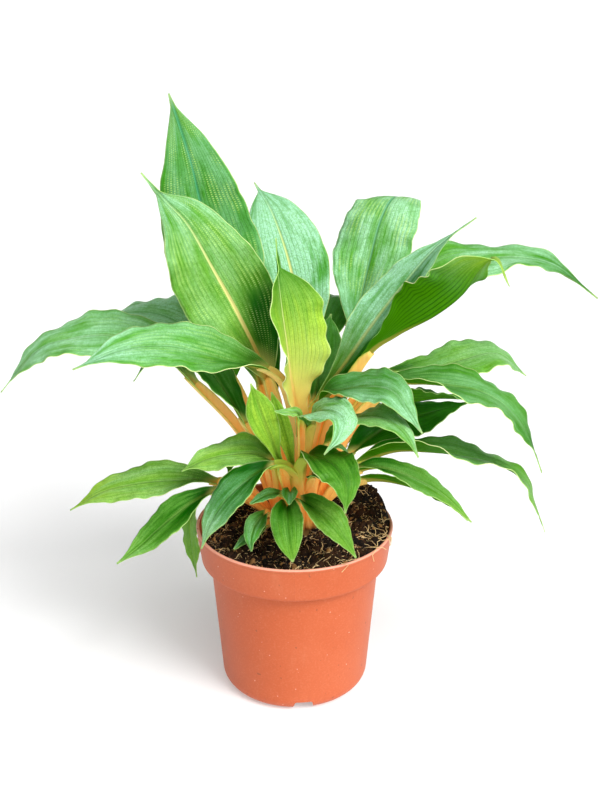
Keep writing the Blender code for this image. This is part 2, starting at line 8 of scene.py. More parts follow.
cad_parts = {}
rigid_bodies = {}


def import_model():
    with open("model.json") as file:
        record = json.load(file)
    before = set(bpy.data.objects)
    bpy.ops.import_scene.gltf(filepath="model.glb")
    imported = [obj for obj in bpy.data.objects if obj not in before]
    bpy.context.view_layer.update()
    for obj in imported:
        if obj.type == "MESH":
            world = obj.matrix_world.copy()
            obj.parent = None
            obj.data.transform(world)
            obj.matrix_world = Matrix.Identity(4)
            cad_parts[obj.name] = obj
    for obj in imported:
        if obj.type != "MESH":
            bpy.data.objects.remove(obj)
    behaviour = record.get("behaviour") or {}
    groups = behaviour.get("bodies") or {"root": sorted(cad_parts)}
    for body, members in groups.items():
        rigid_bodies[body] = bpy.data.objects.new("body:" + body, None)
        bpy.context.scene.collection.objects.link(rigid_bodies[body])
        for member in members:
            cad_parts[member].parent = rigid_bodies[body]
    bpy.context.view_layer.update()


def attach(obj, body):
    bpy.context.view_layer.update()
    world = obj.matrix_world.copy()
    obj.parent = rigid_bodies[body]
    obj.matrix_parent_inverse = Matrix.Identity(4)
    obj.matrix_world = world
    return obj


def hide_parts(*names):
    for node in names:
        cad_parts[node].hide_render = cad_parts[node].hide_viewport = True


# A potted mandarin plant: waved leaves on orange stalks, dark soil and a terracotta nursery pot.
# Sizes are in millimetres unless a note says otherwise, the front of the plant is towards -Y.
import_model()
scene = bpy.context.scene
scene.view_settings.view_transform = "Standard"
mm = 0.001


class Value:
    # a node's output that sums can be written with
    def __init__(self, tree, socket):
        self.tree = tree
        self.socket = socket

    def __add__(self, other):
        return self.tree.maths("ADD", self, other)

    def __radd__(self, other):
        return self.tree.maths("ADD", other, self)

    def __sub__(self, other):
        return self.tree.maths("SUBTRACT", self, other)

    def __rsub__(self, other):
        return self.tree.maths("SUBTRACT", other, self)

    def __mul__(self, other):
        return self.tree.maths("MULTIPLY", self, other)

    def __rmul__(self, other):
        return self.tree.maths("MULTIPLY", other, self)

    def __truediv__(self, other):
        return self.tree.maths("DIVIDE", self, other)

    def __neg__(self):
        return self.tree.maths("MULTIPLY", self, -1.0)

    def __abs__(self):
        return self.tree.maths("ABSOLUTE", self)

    def __lt__(self, other):
        return self.tree.maths("LESS_THAN", self, other)

    def __gt__(self, other):
        return self.tree.maths("GREATER_THAN", self, other)


class Tree:
    # a node tree that nodes are added to by type, settings and inputs
    def __init__(self, nodeTree):
        self.nodeTree = nodeTree

    def connect(self, value, socket):
        if isinstance(value, Value):
            self.nodeTree.links.new(value.socket, socket)
        else:
            socket.default_value = value

    def feed(self, node, inputs):
        for slot, value in inputs.items():
            self.connect(value, node.inputs[slot])

    def node(self, kind, settings=None, inputs=None):
        made = self.nodeTree.nodes.new(kind)
        for name, setting in (settings or {}).items():
            setattr(made, name, setting)
        self.feed(made, inputs or {})
        return [Value(self, socket) for socket in made.outputs]

    def geometry(self, kind, inputs=None, **settings):
        return self.node("GeometryNode" + kind, settings, inputs)[0]

    def maths(self, operation, *values):
        return self.node("ShaderNodeMath", {"operation": operation}, dict(enumerate(values)))[0]

    def sin(self, angle):
        return self.maths("SINE", angle)

    def cos(self, angle):
        return self.maths("COSINE", angle)

    def smooth(self, value, start, end, low=0.0, high=1.0):
        return self.node("ShaderNodeMapRange", {"interpolation_type": "SMOOTHSTEP", "clamp": True},
                         {"Value": value, "From Min": start, "From Max": end, "To Min": low,
                          "To Max": high})[0]

    def apart(self, vector):
        return self.node("ShaderNodeSeparateXYZ", {}, {0: vector})

    def vector(self, x, y, z):
        return self.node("ShaderNodeCombineXYZ", {}, {0: x, 1: y, 2: z})[0]

    def along(self, vector, length):
        return self.node("ShaderNodeVectorMath", {"operation": "SCALE"},
                         {0: vector, "Scale": length})[0]

    def together(self, first, second):
        return self.node("ShaderNodeVectorMath", {"operation": "ADD"}, {0: first, 1: second})[0]

    def noise(self, place, scale, detail=2.0, roughness=0.5):
        return self.node("ShaderNodeTexNoise", {}, {"Vector": place, "Scale": scale,
                                                    "Detail": detail,
                                                    "Roughness": roughness})[0]

    def mixed(self, share, first, second, blend="MIX"):
        sides = [(*side, 1.0) if isinstance(side, tuple) else side for side in (first, second)]
        settings = {"data_type": "RGBA", "blend_type": blend, "clamp_factor": True}
        return self.node("ShaderNodeMix", settings, {0: share, 6: sides[0], 7: sides[1]})[2]

    def layered(self, tone, colours, layers):
        # named colours laid over a tone, each by its share
        for share, name in layers:
            tone = self.mixed(share, tone, colours[name])
        return tone

    def attribute(self, name):
        return self.node("ShaderNodeAttribute", {"attribute_name": name})[2]


def geometryTree(name, sizes):
    group = bpy.data.node_groups.new(name, "GeometryNodeTree")
    group.interface.new_socket(name="Geometry", in_out="OUTPUT",
                               socket_type="NodeSocketGeometry")
    for label, kind in {"Geometry": "Geometry", **sizes, "Material": "Material"}.items():
        group.interface.new_socket(name=label, in_out="INPUT", socket_type="NodeSocket" + kind)
    tree = Tree(group)
    entry = group.nodes.new("NodeGroupInput")
    return tree, {socket.name: Value(tree, socket) for socket in entry.outputs if socket.name}


def closeTree(tree, geometry, given):
    # the last nodes of every geometry tree
    shaded = tree.geometry("SetShadeSmooth", {0: geometry, "Shade Smooth": True})
    real = tree.geometry("RealizeInstances", {0: shaded})
    painted = tree.geometry("SetMaterial", {0: real, "Material": given["Material"]})
    tree.connect(painted, tree.nodeTree.nodes.new("NodeGroupOutput").inputs[0])
    return tree.nodeTree


def kept(tree, geometry, name, value, domain="POINT"):
    # stores a value, for the materials
    return tree.geometry("StoreNamedAttribute", {"Geometry": geometry, "Name": name,
                                                 "Value": value},
                         data_type="FLOAT", domain=domain)


def newObject(name, points, edges=()):
    mesh = bpy.data.meshes.new(name)
    mesh.from_pydata([tuple(point) for point in points], list(edges), [])
    obj = bpy.data.objects.new(name, mesh)
    scene.collection.objects.link(obj)
    return obj


def lineObject(name, points, values):
    # a polyline with values on its points, that a geometry tree follows
    obj = newObject(name, np.asarray(points) * mm, [(n, n + 1) for n in range(len(points) - 1)])
    for label, column in values.items():
        column = np.asarray(column, float)
        kind, field = ("FLOAT", "value") if column.ndim == 1 else ("FLOAT_VECTOR", "vector")
        attribute = obj.data.attributes.new(label, kind, "POINT")
        attribute.data.foreach_set(field, column.astype(np.float32).ravel())
    return obj


def storeShares(mesh, shares):
    # numbers that the materials read, one for each point or one for all
    for name, value in shares.items():
        values = np.broadcast_to(np.asarray(value, np.float32), len(mesh.vertices))
        mesh.attributes.new(name, "FLOAT", "POINT").data.foreach_set("value", values)


def withTree(obj, group, sizes):
    modifier = obj.modifiers.new(group.name, "NODES")
    modifier.node_group = group
    for item in group.interface.items_tree:
        if item.in_out == "INPUT" and item.name in sizes:
            modifier[item.identifier] = sizes[item.name]


def madePlain(obj):
    # swaps the object's mesh for the one that its modifiers make
    graph = bpy.context.evaluated_depsgraph_get()
    mesh = bpy.data.meshes.new_from_object(obj.evaluated_get(graph),
                                           preserve_all_data_layers=True, depsgraph=graph)
    obj.modifiers.clear()
    obj.data = mesh
    mesh.name = obj.name
    return obj


def thickened(obj, thickness, offset):
    solid = obj.modifiers.new("thickness", "SOLIDIFY")
    solid.thickness = thickness * mm
    solid.offset = offset
    return madePlain(obj)


def joinedTo(first, others):
    bpy.ops.object.select_all(action="DESELECT")
    for obj in [first, *others]:
        obj.select_set(True)
    bpy.context.view_layer.objects.active = first
    bpy.ops.object.join()
    return first


def placed(obj, slot, *nodes):
    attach(obj, "root")
    if nodes:
        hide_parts(*nodes)
    print(obj.name, len(obj.data.polygons), "faces")
    return obj


def newMaterial(name):
    material = bpy.data.materials.new(name)
    material.use_nodes = True
    tree = Tree(material.node_tree)
    shader = material.node_tree.nodes["Principled BSDF"]
    place = tree.node("ShaderNodeTexCoord")[3]
    return material, tree, shader, place


def bumped(tree, shader, height, distance, strength):
    normal = tree.node("ShaderNodeBump", {}, {"Height": height, "Distance": distance,
                                              "Strength": strength})[0]
    tree.connect(normal, shader.inputs["Normal"])


def litThrough(tree, shader, share, colour):
    # a share of the light comes through from behind in this colour
    through = tree.node("ShaderNodeBsdfTranslucent", {}, {"Color": (*colour, 1.0)})[0]
    both = tree.node("ShaderNodeMixShader", {}, {0: share, 1: Value(tree, shader.outputs[0]),
                                                 2: through})[0]
    tree.connect(both, tree.nodeTree.nodes["Material Output"].inputs["Surface"])


# Leaves
leafSize = dict(thickness=0.36, blades=(70, 36), smallBlades=(44, 22), smallWidth=26,
                leastNeck=0.5, edgeShift=2.0, curveSamples=240, spanSamples=40, lineSamples=120,
                veinGap=2.6, dashGap=1.9, groove=0.7, ripple=0.7, rippleWidth=30, edgeCrowd=0.45,
                crease=0.04, fineWaves=3.4, frillWaves=3.2, frill=4.0)


def leafRow(name, bearing, foot, stalk, blade, width, roll, fold=(60, 10, 4), wave=(6, 2.5, 0.0),
            belly=0.45, taper=1.0, drip=0.06, neck=8.0, curl=0.12):
    # the midline runs in the upright plane at the bearing through (reach, height, side) points;
    # roll and fold are degrees at the neck, middle and tip, wave is height in hundredths of the
    # width, waves along the blade and phase
    return dict(name=name, bearing=bearing, foot=foot, stalk=stalk, blade=blade, width=width,
                roll=roll, fold=fold, wave=wave, belly=belly, taper=taper, drip=drip, neck=neck,
                curl=curl)


leafRows = [
    # Tall leaves round the middle
    leafRow("tall_back_left", 150, (-4, 6), [(0, 108), (8, 150)],
            [(18, 190), (42, 245), (57, 291), (65, 321), (78, 356)], 57, (-60, -60, -60), belly=0.48,
            taper=1.1, drip=0.03, wave=(4, 2.5, 0.2)),
    leafRow("tall_left", 188, (-7, 1), [(0, 108), (2, 158)],
            [(9, 200), (24, 237), (39, 267), (52, 292), (64, 306), (76, 321)], 54, (-85, -85, -75),
            belly=0.44, taper=0.92, drip=0.10, wave=(5, 2.5, 0.6)),
    leafRow("tall_back", 100, (-2, 9), [(1, 108), (4, 155, -4)],
            [(10, 188, -8), (20, 226, -9), (30, 259, -4), (42, 286, 4), (60, 301, 12)], 47, (0, 0, 0),
            belly=0.62, taper=0.85, wave=(4, 2.0, 0.0)),
    leafRow("young_centre", 180, (-2, -5), [(-3, 108), (-5, 140, 1)],
            [(-5, 168), (0, 203, 4), (2, 223, 6), (5, 247, 7), (7, 266, 5), (8, 285, 4)], 56,
            (-47, -49, -38), fold=(40, 50, 32), belly=0.66, taper=0.9, drip=0.14, neck=15),
    leafRow("dark_back", 68, (9, 12), [(1, 108), (4, 154)],
            [(9, 178), (17, 197), (26, 213), (35, 225)], 25, (0, 0, 0), belly=0.55, taper=0.8, neck=6),
    leafRow("tall_right", 55, (5, 7), [(1, 108), (24, 168)],
            [(53, 209), (63, 231), (73, 255), (86, 276, 1), (105, 286, 3), (136, 277, 7)], 49,
            (35, 15, -14), belly=0.48, taper=0.62, wave=(4, 3.0, 0.3), curl=0.28),
    leafRow("long_right", 2, (6, 3), [(1, 108), (2, 153)],
            [(8, 183), (24, 208), (39, 231), (54, 252), (74, 276), (96, 293)], 29, (70, 62, 20),
            fold=(60, 25, 10), belly=0.52, taper=1.4, drip=0.10, wave=(7, 3.0, 0.1)),
    leafRow("arched_right", 335, (7, -4), [(1, 108), (15, 172)],
            [(37, 218), (55, 235), (76, 249), (91, 263), (100, 278), (108, 283), (116, 270)], 56,
            (-30, -32, -12), fold=(60, 42, 16), belly=0.66, taper=0.7, drip=0.16),
    leafRow("far_right", 18, (8, 5), [(1, 108), (21, 178)],
            [(45, 220), (69, 245), (88, 257), (111, 261), (134, 260), (160, 252), (190, 229)], 40,
            (8, 15, 70), belly=0.40, taper=1.5, drip=0.12, wave=(7, 2.5, 0.4)),
    # Leaves that reach out to the left
    leafRow("broad_left", 205, (-5, -9), [(0, 108), (-4, 164), (1, 196)],
            [(12, 209), (28, 216), (49, 225), (71, 233), (97, 234), (123, 227)], 37, (-30, -30, -25),
            wave=(5, 2.5, 0.0)),
    leafRow("far_left", 172, (-9, 4), [(1, 108), (22, 158)],
            [(51, 191), (74, 213), (99, 220), (125, 217), (147, 208), (172, 180)], 38, (-25, -25, -25),
            wave=(6, 3.0, 0.5)),
    leafRow("back_left", 150, (-9, 8), [(1, 108), (18, 157)],
            [(40, 196), (60, 214), (86, 222), (112, 219), (130, 207), (138, 186)], 40, (-20, -15, 0),
            belly=0.52, taper=0.8),
    leafRow("narrow_left", 187, (-10, 1), [(1, 108), (9, 151)],
            [(20, 171), (30, 191), (41, 209), (57, 218), (73, 214), (83, 201)], 25, (-40, -30, -10)),
    leafRow("curled_left", 190, (-10, -3), [(1, 108), (2, 138, 3)],
            [(5, 151, 7), (14, 158, 9), (25, 159, 9), (38, 158, 9), (48, 155, 9), (58, 150, 9)], 25,
            (-25, -25, -20), fold=(45, 12, 8), wave=(12, 2.0, 0.3)),
    leafRow("low_left", 176, (-11, 1), [(1, 108), (18, 126)],
            [(36, 130), (52, 132), (71, 131), (89, 128), (108, 122), (128, 109)], 27, (-30, -30, -25)),
    leafRow("low_front_left", 200, (-11, -2), [(1, 108), (17, 125)],
            [(37, 133), (52, 129), (64, 122), (75, 114), (85, 106), (99, 97)], 21, (-30, -30, -30)),
    leafRow("hanging_left", 157, (-11, 3), [(1, 108), (25, 117)],
            [(42, 117), (53, 108), (60, 94), (60, 75), (57, 53)], 24, (-40, -60, -60)),
    # Leaves at the front
    leafRow("erect_left", 200, (-9, -6), [(0, 108), (-1, 132, 7)],
            [(3, 151, 11), (9, 169, 13), (16, 188, 15), (22, 207, 16)], 17, (-95, -95, -95),
            belly=0.66, taper=0.9, neck=7),
    leafRow("erect_front", 180, (-4, -9), [(0, 108), (-4, 133, 2)],
            [(-3, 148, 5), (0, 165, 7), (5, 184, 8), (9, 198, 9)], 10, (-85, -85, -85), belly=0.60,
            taper=0.8, neck=5),
    leafRow("mint_front", 315, (6, -8), [(1, 108), (6, 155, -3)],
            [(12, 177, -5), (27, 194, -16), (44, 201, -23), (54, 200, -26), (58, 194, -33),
            (57, 186, -43)], 25, (20, 10, 10)),
    leafRow("pale_strip", 180, (-1, -10), [(0, 108), (-4, 150, 8)],
            [(-4, 184, 14), (1, 189, 17), (6, 190, 19), (10, 191, 20)], 6, (-60, -20, -10), neck=4),
    leafRow("front_left", 205, (3, -13), [(0, 108), (2, 138, 3), (9, 151, 5)],
            [(19, 156, 7), (34, 153, 9), (49, 143, 9), (60, 129, 9), (66, 114, 9)], 22,
            (-20, -25, -20), neck=6),
    leafRow("front_right", 290, (4, -12), [(1, 108), (6, 140, -3)],
            [(14, 158, -3), (28, 166, 0), (42, 168, 3), (51, 163, 6), (56, 156, 6), (57, 144, 5)], 28,
            (0, 0, 0)),
    leafRow("front_dark", 318, (12, -10), [(0, 108), (0, 131, -4)],
            [(6, 145, -8), (14, 153, -15), (22, 151, -16)], 10, (10, 10, 10), neck=5),
    leafRow("front_tongue", 265, (-1, -14), [(0, 108), (5, 120, -1)],
            [(12, 130, -2), (27, 131, -1), (37, 123, 1), (43, 110, 4)], 19, (0, 0, 0), taper=0.8,
            drip=0.03, neck=7),
    leafRow("front_low", 310, (4, -13), [(0, 108), (4, 126, -6)],
            [(10, 133, -9), (24, 135, -10), (38, 131, -9), (47, 122, -7), (54, 113, -5)], 19,
            (10, 15, 10), neck=7),
    leafRow("small_front_left", 235, (-10, -8), [(1, 108), (5, 116, 1)],
            [(15, 122, 2), (28, 121, 4), (35, 115, 6), (37, 109, 8)], 12, (-10, -10, -10), neck=5),
    leafRow("small_left", 215, (-11, -7), [(0, 107), (4, 111, 3)],
            [(11, 113, 6), (21, 113, 9), (29, 110, 9), (36, 106, 9)], 8, (-20, -20, -20), neck=4),
    leafRow("small_narrow", 205, (-5, -10), [(0, 108), (2, 128, 5)],
            [(7, 134, 7), (17, 137, 10), (28, 134, 11)], 8, (-20, -20, -20), neck=4),
    leafRow("small_tip", 268, (-1, -12), [(0, 108), (5, 130, -1)],
            [(10, 137, -1), (18, 140, -1), (27, 137, -1)], 9, (0, 0, 0), neck=5),
    # Leaves that reach out to the right
    leafRow("arch_front_right", 318, (7, -9), [(1, 108), (2, 146)],
            [(14, 192), (29, 203), (47, 210), (62, 211), (72, 203), (83, 192)], 28, (22, 22, 18)),
    leafRow("under_front_right", 314, (8, -11), [(1, 108), (7, 144)],
            [(18, 167), (28, 180), (40, 191), (56, 196), (70, 194), (78, 189), (84, 181)], 24,
            (0, 5, 10)),
    leafRow("mid_right_back", 12, (9, 2), [(1, 108), (22, 172)],
            [(45, 195), (61, 198), (78, 200), (95, 204), (115, 206), (135, 190)], 34, (15, 14, 15),
            belly=0.60, taper=0.8),
    leafRow("mid_right", 350, (9, -2), [(1, 108), (21, 168)],
            [(45, 197), (61, 201), (80, 201), (98, 199), (113, 191), (125, 177), (136, 151)], 34,
            (8, 8, 15), drip=0.1, wave=(6, 3.0, 0.2)),
    leafRow("mid_right_under", 8, (9, 2), [(1, 108), (22, 158)],
            [(42, 184), (53, 182), (63, 181), (79, 182), (97, 180)], 24, (-20, -20, 0),
            fold=(60, 40, 20)),
    leafRow("dark_right", 20, (10, 4), [(1, 108), (12, 128)],
            [(25, 144), (38, 154), (57, 163), (79, 166), (106, 169)], 32, (30, 25, 10)),
    leafRow("low_right_long", 355, (10, -1), [(1, 108), (12, 128)],
            [(27, 144), (48, 155), (70, 156), (91, 154), (111, 149), (127, 139), (134, 124),
            (141, 106)], 32, (-20, -5, 5), fold=(60, 20, 0), wave=(7, 3.0, 0.0)),
    leafRow("low_right", 340, (10, -4), [(1, 108), (14, 134)],
            [(28, 145), (39, 150), (53, 150), (68, 146), (82, 139), (98, 125)], 18, (12, 12, 15)),
    leafRow("low_right_under", 352, (10, -3), [(1, 108), (14, 127)],
            [(30, 136), (42, 138), (56, 136), (71, 131), (84, 124), (94, 115)], 16, (-30, -30, -30)),
    leafRow("small_right", 345, (8, -5), [(1, 108), (5, 142, -5)],
            [(10, 156, -7), (16, 163, -7), (21, 164, -7), (26, 160, -7)], 6, (10, 10, 10), neck=4),
    leafRow("low_back_right", 40, (9, 6), [(1, 108), (12, 128)],
            [(26, 144), (52, 157), (80, 155), (104, 138)], 28, (10, 5, 5)),
    # Leaves behind the clump
    leafRow("back_high", 75, (2, 12), [(1, 108), (10, 150)],
            [(24, 182), (50, 210), (80, 222), (108, 212), (128, 188)], 42, (0, 5, 0)),
    leafRow("back_mid", 112, (-4, 12), [(1, 108), (10, 146)],
            [(24, 172), (52, 190), (84, 188), (108, 166), (122, 138)], 40, (0, -5, 0)),
    leafRow("back_low", 88, (2, 13), [(1, 108), (9, 128)],
            [(22, 142), (46, 150), (74, 142), (94, 118)], 34, (0, 0, 0)),
    leafRow("back_low_left", 118, (-7, 11), [(1, 108), (10, 126)],
            [(24, 136), (46, 138), (68, 124), (82, 99)], 30, (-5, -5, 0)),
]
# how each leaf looks, where it differs from the usual one: shares at its base, middle and tip of
# mint for pale blue green and painted sheen, lime for yellow green and deep for dark green and
# painted shade, then dash for the rows of light dashes between the veins, rib for the cream midrib,
# dark for painted shade on each half towards the base and shade for painted shade on each half
# along the whole blade
usualLook = dict(mintAndSheen=(0.1, 0.35, 0.45), lime=(0.3, 0.1, 0.05), deepAndShade=(0.7, 0.25, 0.1), dash=0.1,
                 rib=0.05, teal=0, dark=(0.35, 0.2), shade=(0, 0), gold=0.13, thread=1.2)
leafLooks = {
    "tall_back_left": dict(mintAndSheen=(0.3, 0.35, 0.45), lime=(0, 0, 0), deepAndShade=(0.3, 0.2, 0.2),
                           dash=1.2, rib=0, teal=0.9, dark=(0, 0.1)),
    "tall_left": dict(mintAndSheen=(0.1, 0.45, 1.0), lime=(0.6, 0.3, 0), deepAndShade=(0.4, 0.1, 0),
                      dash=1.0, rib=0.9, dark=(1.3, 0.15), gold=0.2),
    "tall_back": dict(mintAndSheen=(0.7, 1.7, 1.8), lime=(0.2, 0, 0), deepAndShade=(0.3, 0, 0.2),
                      dash=0, rib=1.0, dark=(0.5, 0)),
    "young_centre": dict(mintAndSheen=(0.2, 0.4, 0), lime=(1.3, 0.9, 0), deepAndShade=(0, 0, 0.5),
                         dash=0, rib=0.9, dark=(0, 0), gold=0.72, thread=2.4),
    "dark_back": dict(mintAndSheen=(0.1, 0.3, 0.2), lime=(0.1, 0.1, 0.1), deepAndShade=(0.6, 0.3, 0.3)),
    "tall_right": dict(mintAndSheen=(0.8, 1.0, 1.1), lime=(0, 0.1, 0.1), deepAndShade=(0, 0, 0),
                       dash=1.2, rib=0.1, teal=1.2, dark=(0.1, 0)),
    "long_right": dict(mintAndSheen=(0.3, 1.5, 2.4), lime=(0.6, 0, 0), deepAndShade=(0.3, 0, 0),
                       rib=0.4, dark=(0.2, 0.5), shade=(0.7, 0)),
    "arched_right": dict(mintAndSheen=(0.1, 0.3, 1.5), lime=(0.1, 0, 1.3), deepAndShade=(0.5, 0.7, 0)),
    "far_right": dict(mintAndSheen=(0.3, 0.9, 0.3), deepAndShade=(0.4, 0, 0.9), rib=0.05),
    "broad_left": dict(mintAndSheen=(0.1, 0.5, 1.1), lime=(0.25, 0.1, 0), deepAndShade=(0.5, 0, 0),
                       dash=0.5, rib=0, dark=(0.2, 0.6)),
    "far_left": dict(mintAndSheen=(0.6, 0.9, 0.8), lime=(0.2, 0.1, 0.1), deepAndShade=(0.1, 0, 0.1),
                     dash=0.4, rib=0.05),
    # back_left's pale mint is painted light on a leaf that lies in the tall leaves' shadow
    "back_left": dict(mintAndSheen=(1.0, 1.2, 1.0), deepAndShade=(0, 0, 0), rib=0, dark=(0, 0)),
    "narrow_left": dict(deepAndShade=(0.9, 0.7, 0.4)),
    "curled_left": dict(mintAndSheen=(0.4, 0.5, 0.5), lime=(0.5, 0.5, 0.6), deepAndShade=(0.3, 0, 0)),
    "low_left": dict(mintAndSheen=(0.3, 0.7, 1.1), lime=(0.4, 0.5, 1.0), deepAndShade=(0.3, 0, 0), dash=0.3),
    "low_front_left": dict(mintAndSheen=(0.1, 0.1, 0.4), lime=(0.2, 0.2, 0.4), deepAndShade=(0.9, 0.7, 0.1)),
    "hanging_left": dict(mintAndSheen=(0, 0.1, 0.2), lime=(0.3, 0.4, 0.5), deepAndShade=(0.5, 0.3, 0.1)),
    "erect_left": dict(mintAndSheen=(0.1, 0.1, 0.1), lime=(0.9, 0.8, 0.6), deepAndShade=(0, 0.1, 0.1),
                       rib=0.05, dark=(0.2, 0)),
    "erect_front": dict(mintAndSheen=(0, 0, 0.1), lime=(1.0, 0.85, 0.7), deepAndShade=(0, 0.1, 0.1),
                        rib=0, dark=(0.1, 0)),
    "mint_front": dict(mintAndSheen=(1.0, 1.5, 1.4), lime=(0.3, 0.1, 0.1), deepAndShade=(0, 0, 0),
                       rib=0, dark=(0.2, 0)),
    "pale_strip": dict(mintAndSheen=(0.3, 0.8, 0.8), lime=(0.6, 0.4, 0.3), deepAndShade=(0, 0, 0)),
    "arch_front_right": dict(mintAndSheen=(0.2, 0.7, 1.0), lime=(0.1, 0.05, 0.1),
                             deepAndShade=(0.6, 0.3, 0), rib=0.05),
    "under_front_right": dict(mintAndSheen=(0.2, 0.6, 0.9), lime=(0.4, 0.3, 0.2), deepAndShade=(0.5, 0.1, 0)),
    "front_right": dict(mintAndSheen=(0, 0.05, 0.1), lime=(0.1, 0.25, 0.3), deepAndShade=(0.9, 0.75, 0.3),
                        rib=0.03),
    "front_dark": dict(mintAndSheen=(0, 0, 0), lime=(0.1, 0.1, 0.2), deepAndShade=(1.0, 0.9, 0.6)),
    "front_left": dict(mintAndSheen=(0, 0.4, 1.6), lime=(0, 0, 0.3), deepAndShade=(1.2, 0.7, 0),
                       rib=0.03),
    "front_tongue": dict(mintAndSheen=(0, 0.15, 0.1), lime=(0.2, 0.3, 0.4), deepAndShade=(0.9, 0.5, 0.2),
                         rib=0),
    "front_low": dict(mintAndSheen=(0, 0.15, 0.1), lime=(0.3, 0.4, 0.4), deepAndShade=(0.8, 0.4, 0.2), rib=0),
    "mid_right_back": dict(mintAndSheen=(0.2, 0.5, 0.6), lime=(0.3, 0.3, 0.2), deepAndShade=(0.6, 0.1, 0),
                           rib=0.05),
    "mid_right": dict(mintAndSheen=(0.3, 0.45, 0), lime=(0.2, 0.1, 0.1), deepAndShade=(0.6, 0.2, 0.9),
                      dash=0.2, rib=0.05),
    # dark_right is dark all over: painted shade on a leaf that lies behind the others
    "dark_right": dict(mintAndSheen=(0, 0.05, 0), lime=(0.1, 0, 0), deepAndShade=(1.0, 1.0, 1.0)),
    "low_right_long": dict(mintAndSheen=(0.1, 0.35, 0.3), lime=(0.3, 0.2, 0.4), deepAndShade=(0.9, 0.45, 0.2),
                           rib=0.05),
    "low_right": dict(mintAndSheen=(0.1, 0.3, 0.3), lime=(0.2, 0.3, 0.5), deepAndShade=(0.9, 0.5, 0.1), rib=0.05),
    "low_right_under": dict(mintAndSheen=(0.1, 0.2, 0.2), lime=(0.3, 0.3, 0.4), deepAndShade=(0.9, 0.6, 0.3)),
}


def smoothCurve(points, samples):
    # evenly spaced points on a smooth curve through the given ones, and their shares of it
    points = np.asarray(points, float)
    padded = np.vstack([2 * points[0] - points[1], points, 2 * points[-1] - points[-2]])
    spans = []
    for a, b, c, d in zip(padded, padded[1:], padded[2:], padded[3:]):
        u = np.linspace(0, 1, leafSize["spanSamples"], endpoint=False)[:, None]
        spans.append(0.5 * (2 * b + (c - a) * u + (2 * a - 5 * b + 4 * c - d) * u**2
                            + (3 * b - a - 3 * c + d) * u**3))
    dense = np.vstack(spans + [points[-1:]])
    length = np.concatenate([[0], np.cumsum(np.linalg.norm(np.diff(dense, axis=0), axis=1))])
    share = np.linspace(0, length[-1], samples)
    even = np.column_stack([np.interp(share, length, dense[:, axis]) for axis in range(3)])
    return even, length[::leafSize["spanSamples"]] / length[-1]


def eased(share, values):
    first, middle, last = values
    half = np.clip(share * 2, 0, 1)
    rest = np.clip(share * 2 - 1, 0, 1)
    return (first + (middle - first) * half**2 * (3 - 2 * half)
            + (last - middle) * rest**2 * (3 - 2 * rest))


def leafMidline(row):
    # points with their sideways and upward directions, the blade's share (below 0 on the
    # stalk) and the whole length
    bearing = math.radians(row["bearing"])
    along = np.array([math.cos(bearing), math.sin(bearing), 0.0])
    left = np.array([-math.sin(bearing), math.cos(bearing), 0.0])
    foot = np.array([*row["foot"], 0.0])
    route = []
    for point in row["stalk"] + row["blade"]:
        reach, height, side = (*point, 0)[:3]
        route.append(foot + reach * along + side * left + np.array([0, 0, height]))
    samples = leafSize["curveSamples"]
    centre, shares = smoothCurve(route, samples)
    length = np.linalg.norm(np.diff(centre, axis=0), axis=1).sum()
    neck = shares[len(row["stalk"])]
    share = (np.linspace(0, 1, samples) - neck) / (1 - neck)
    tangent = np.gradient(centre, axis=0)
    tangent /= np.linalg.norm(tangent, axis=1)[:, None]
    across = left - tangent * (tangent @ left)[:, None]
    across /= np.linalg.norm(across, axis=1)[:, None]
    upper = np.cross(tangent, across)
    onStalk = row["roll"][0] * np.clip(1 + share / max(neck, 0.01) * (1 - neck), 0, 1)
    roll = np.radians(np.where(share < 0, onStalk, eased(share, row["roll"])))[:, None]
    side = np.cos(roll) * across + np.sin(roll) * upper
    return centre, side, np.cross(tangent, side), share, length, neck


def bladeHalf(row, share):
    # half the blade's width: a smooth outline on a narrow neck, and a thread at the tip
    full = np.clip(share / (1 - row["drip"]), 0, 1)
    rise = row["taper"] * row["belly"] / (1 - row["belly"])
    outline = full**rise * (1 - full)**row["taper"]
    outline /= row["belly"]**rise * (1 - row["belly"])**row["taper"]
    stem = row["neck"] / 2 * (1 - share)**2 + leafSize["leastNeck"]
    look = leafLooks.get(row["name"], {})
    thread = look.get("thread", usualLook["thread"]) * np.clip((1 - share) / row["drip"], 0, 1)
    return np.sqrt((row["width"] / 2 * outline)**2 + stem**2 + thread**2)


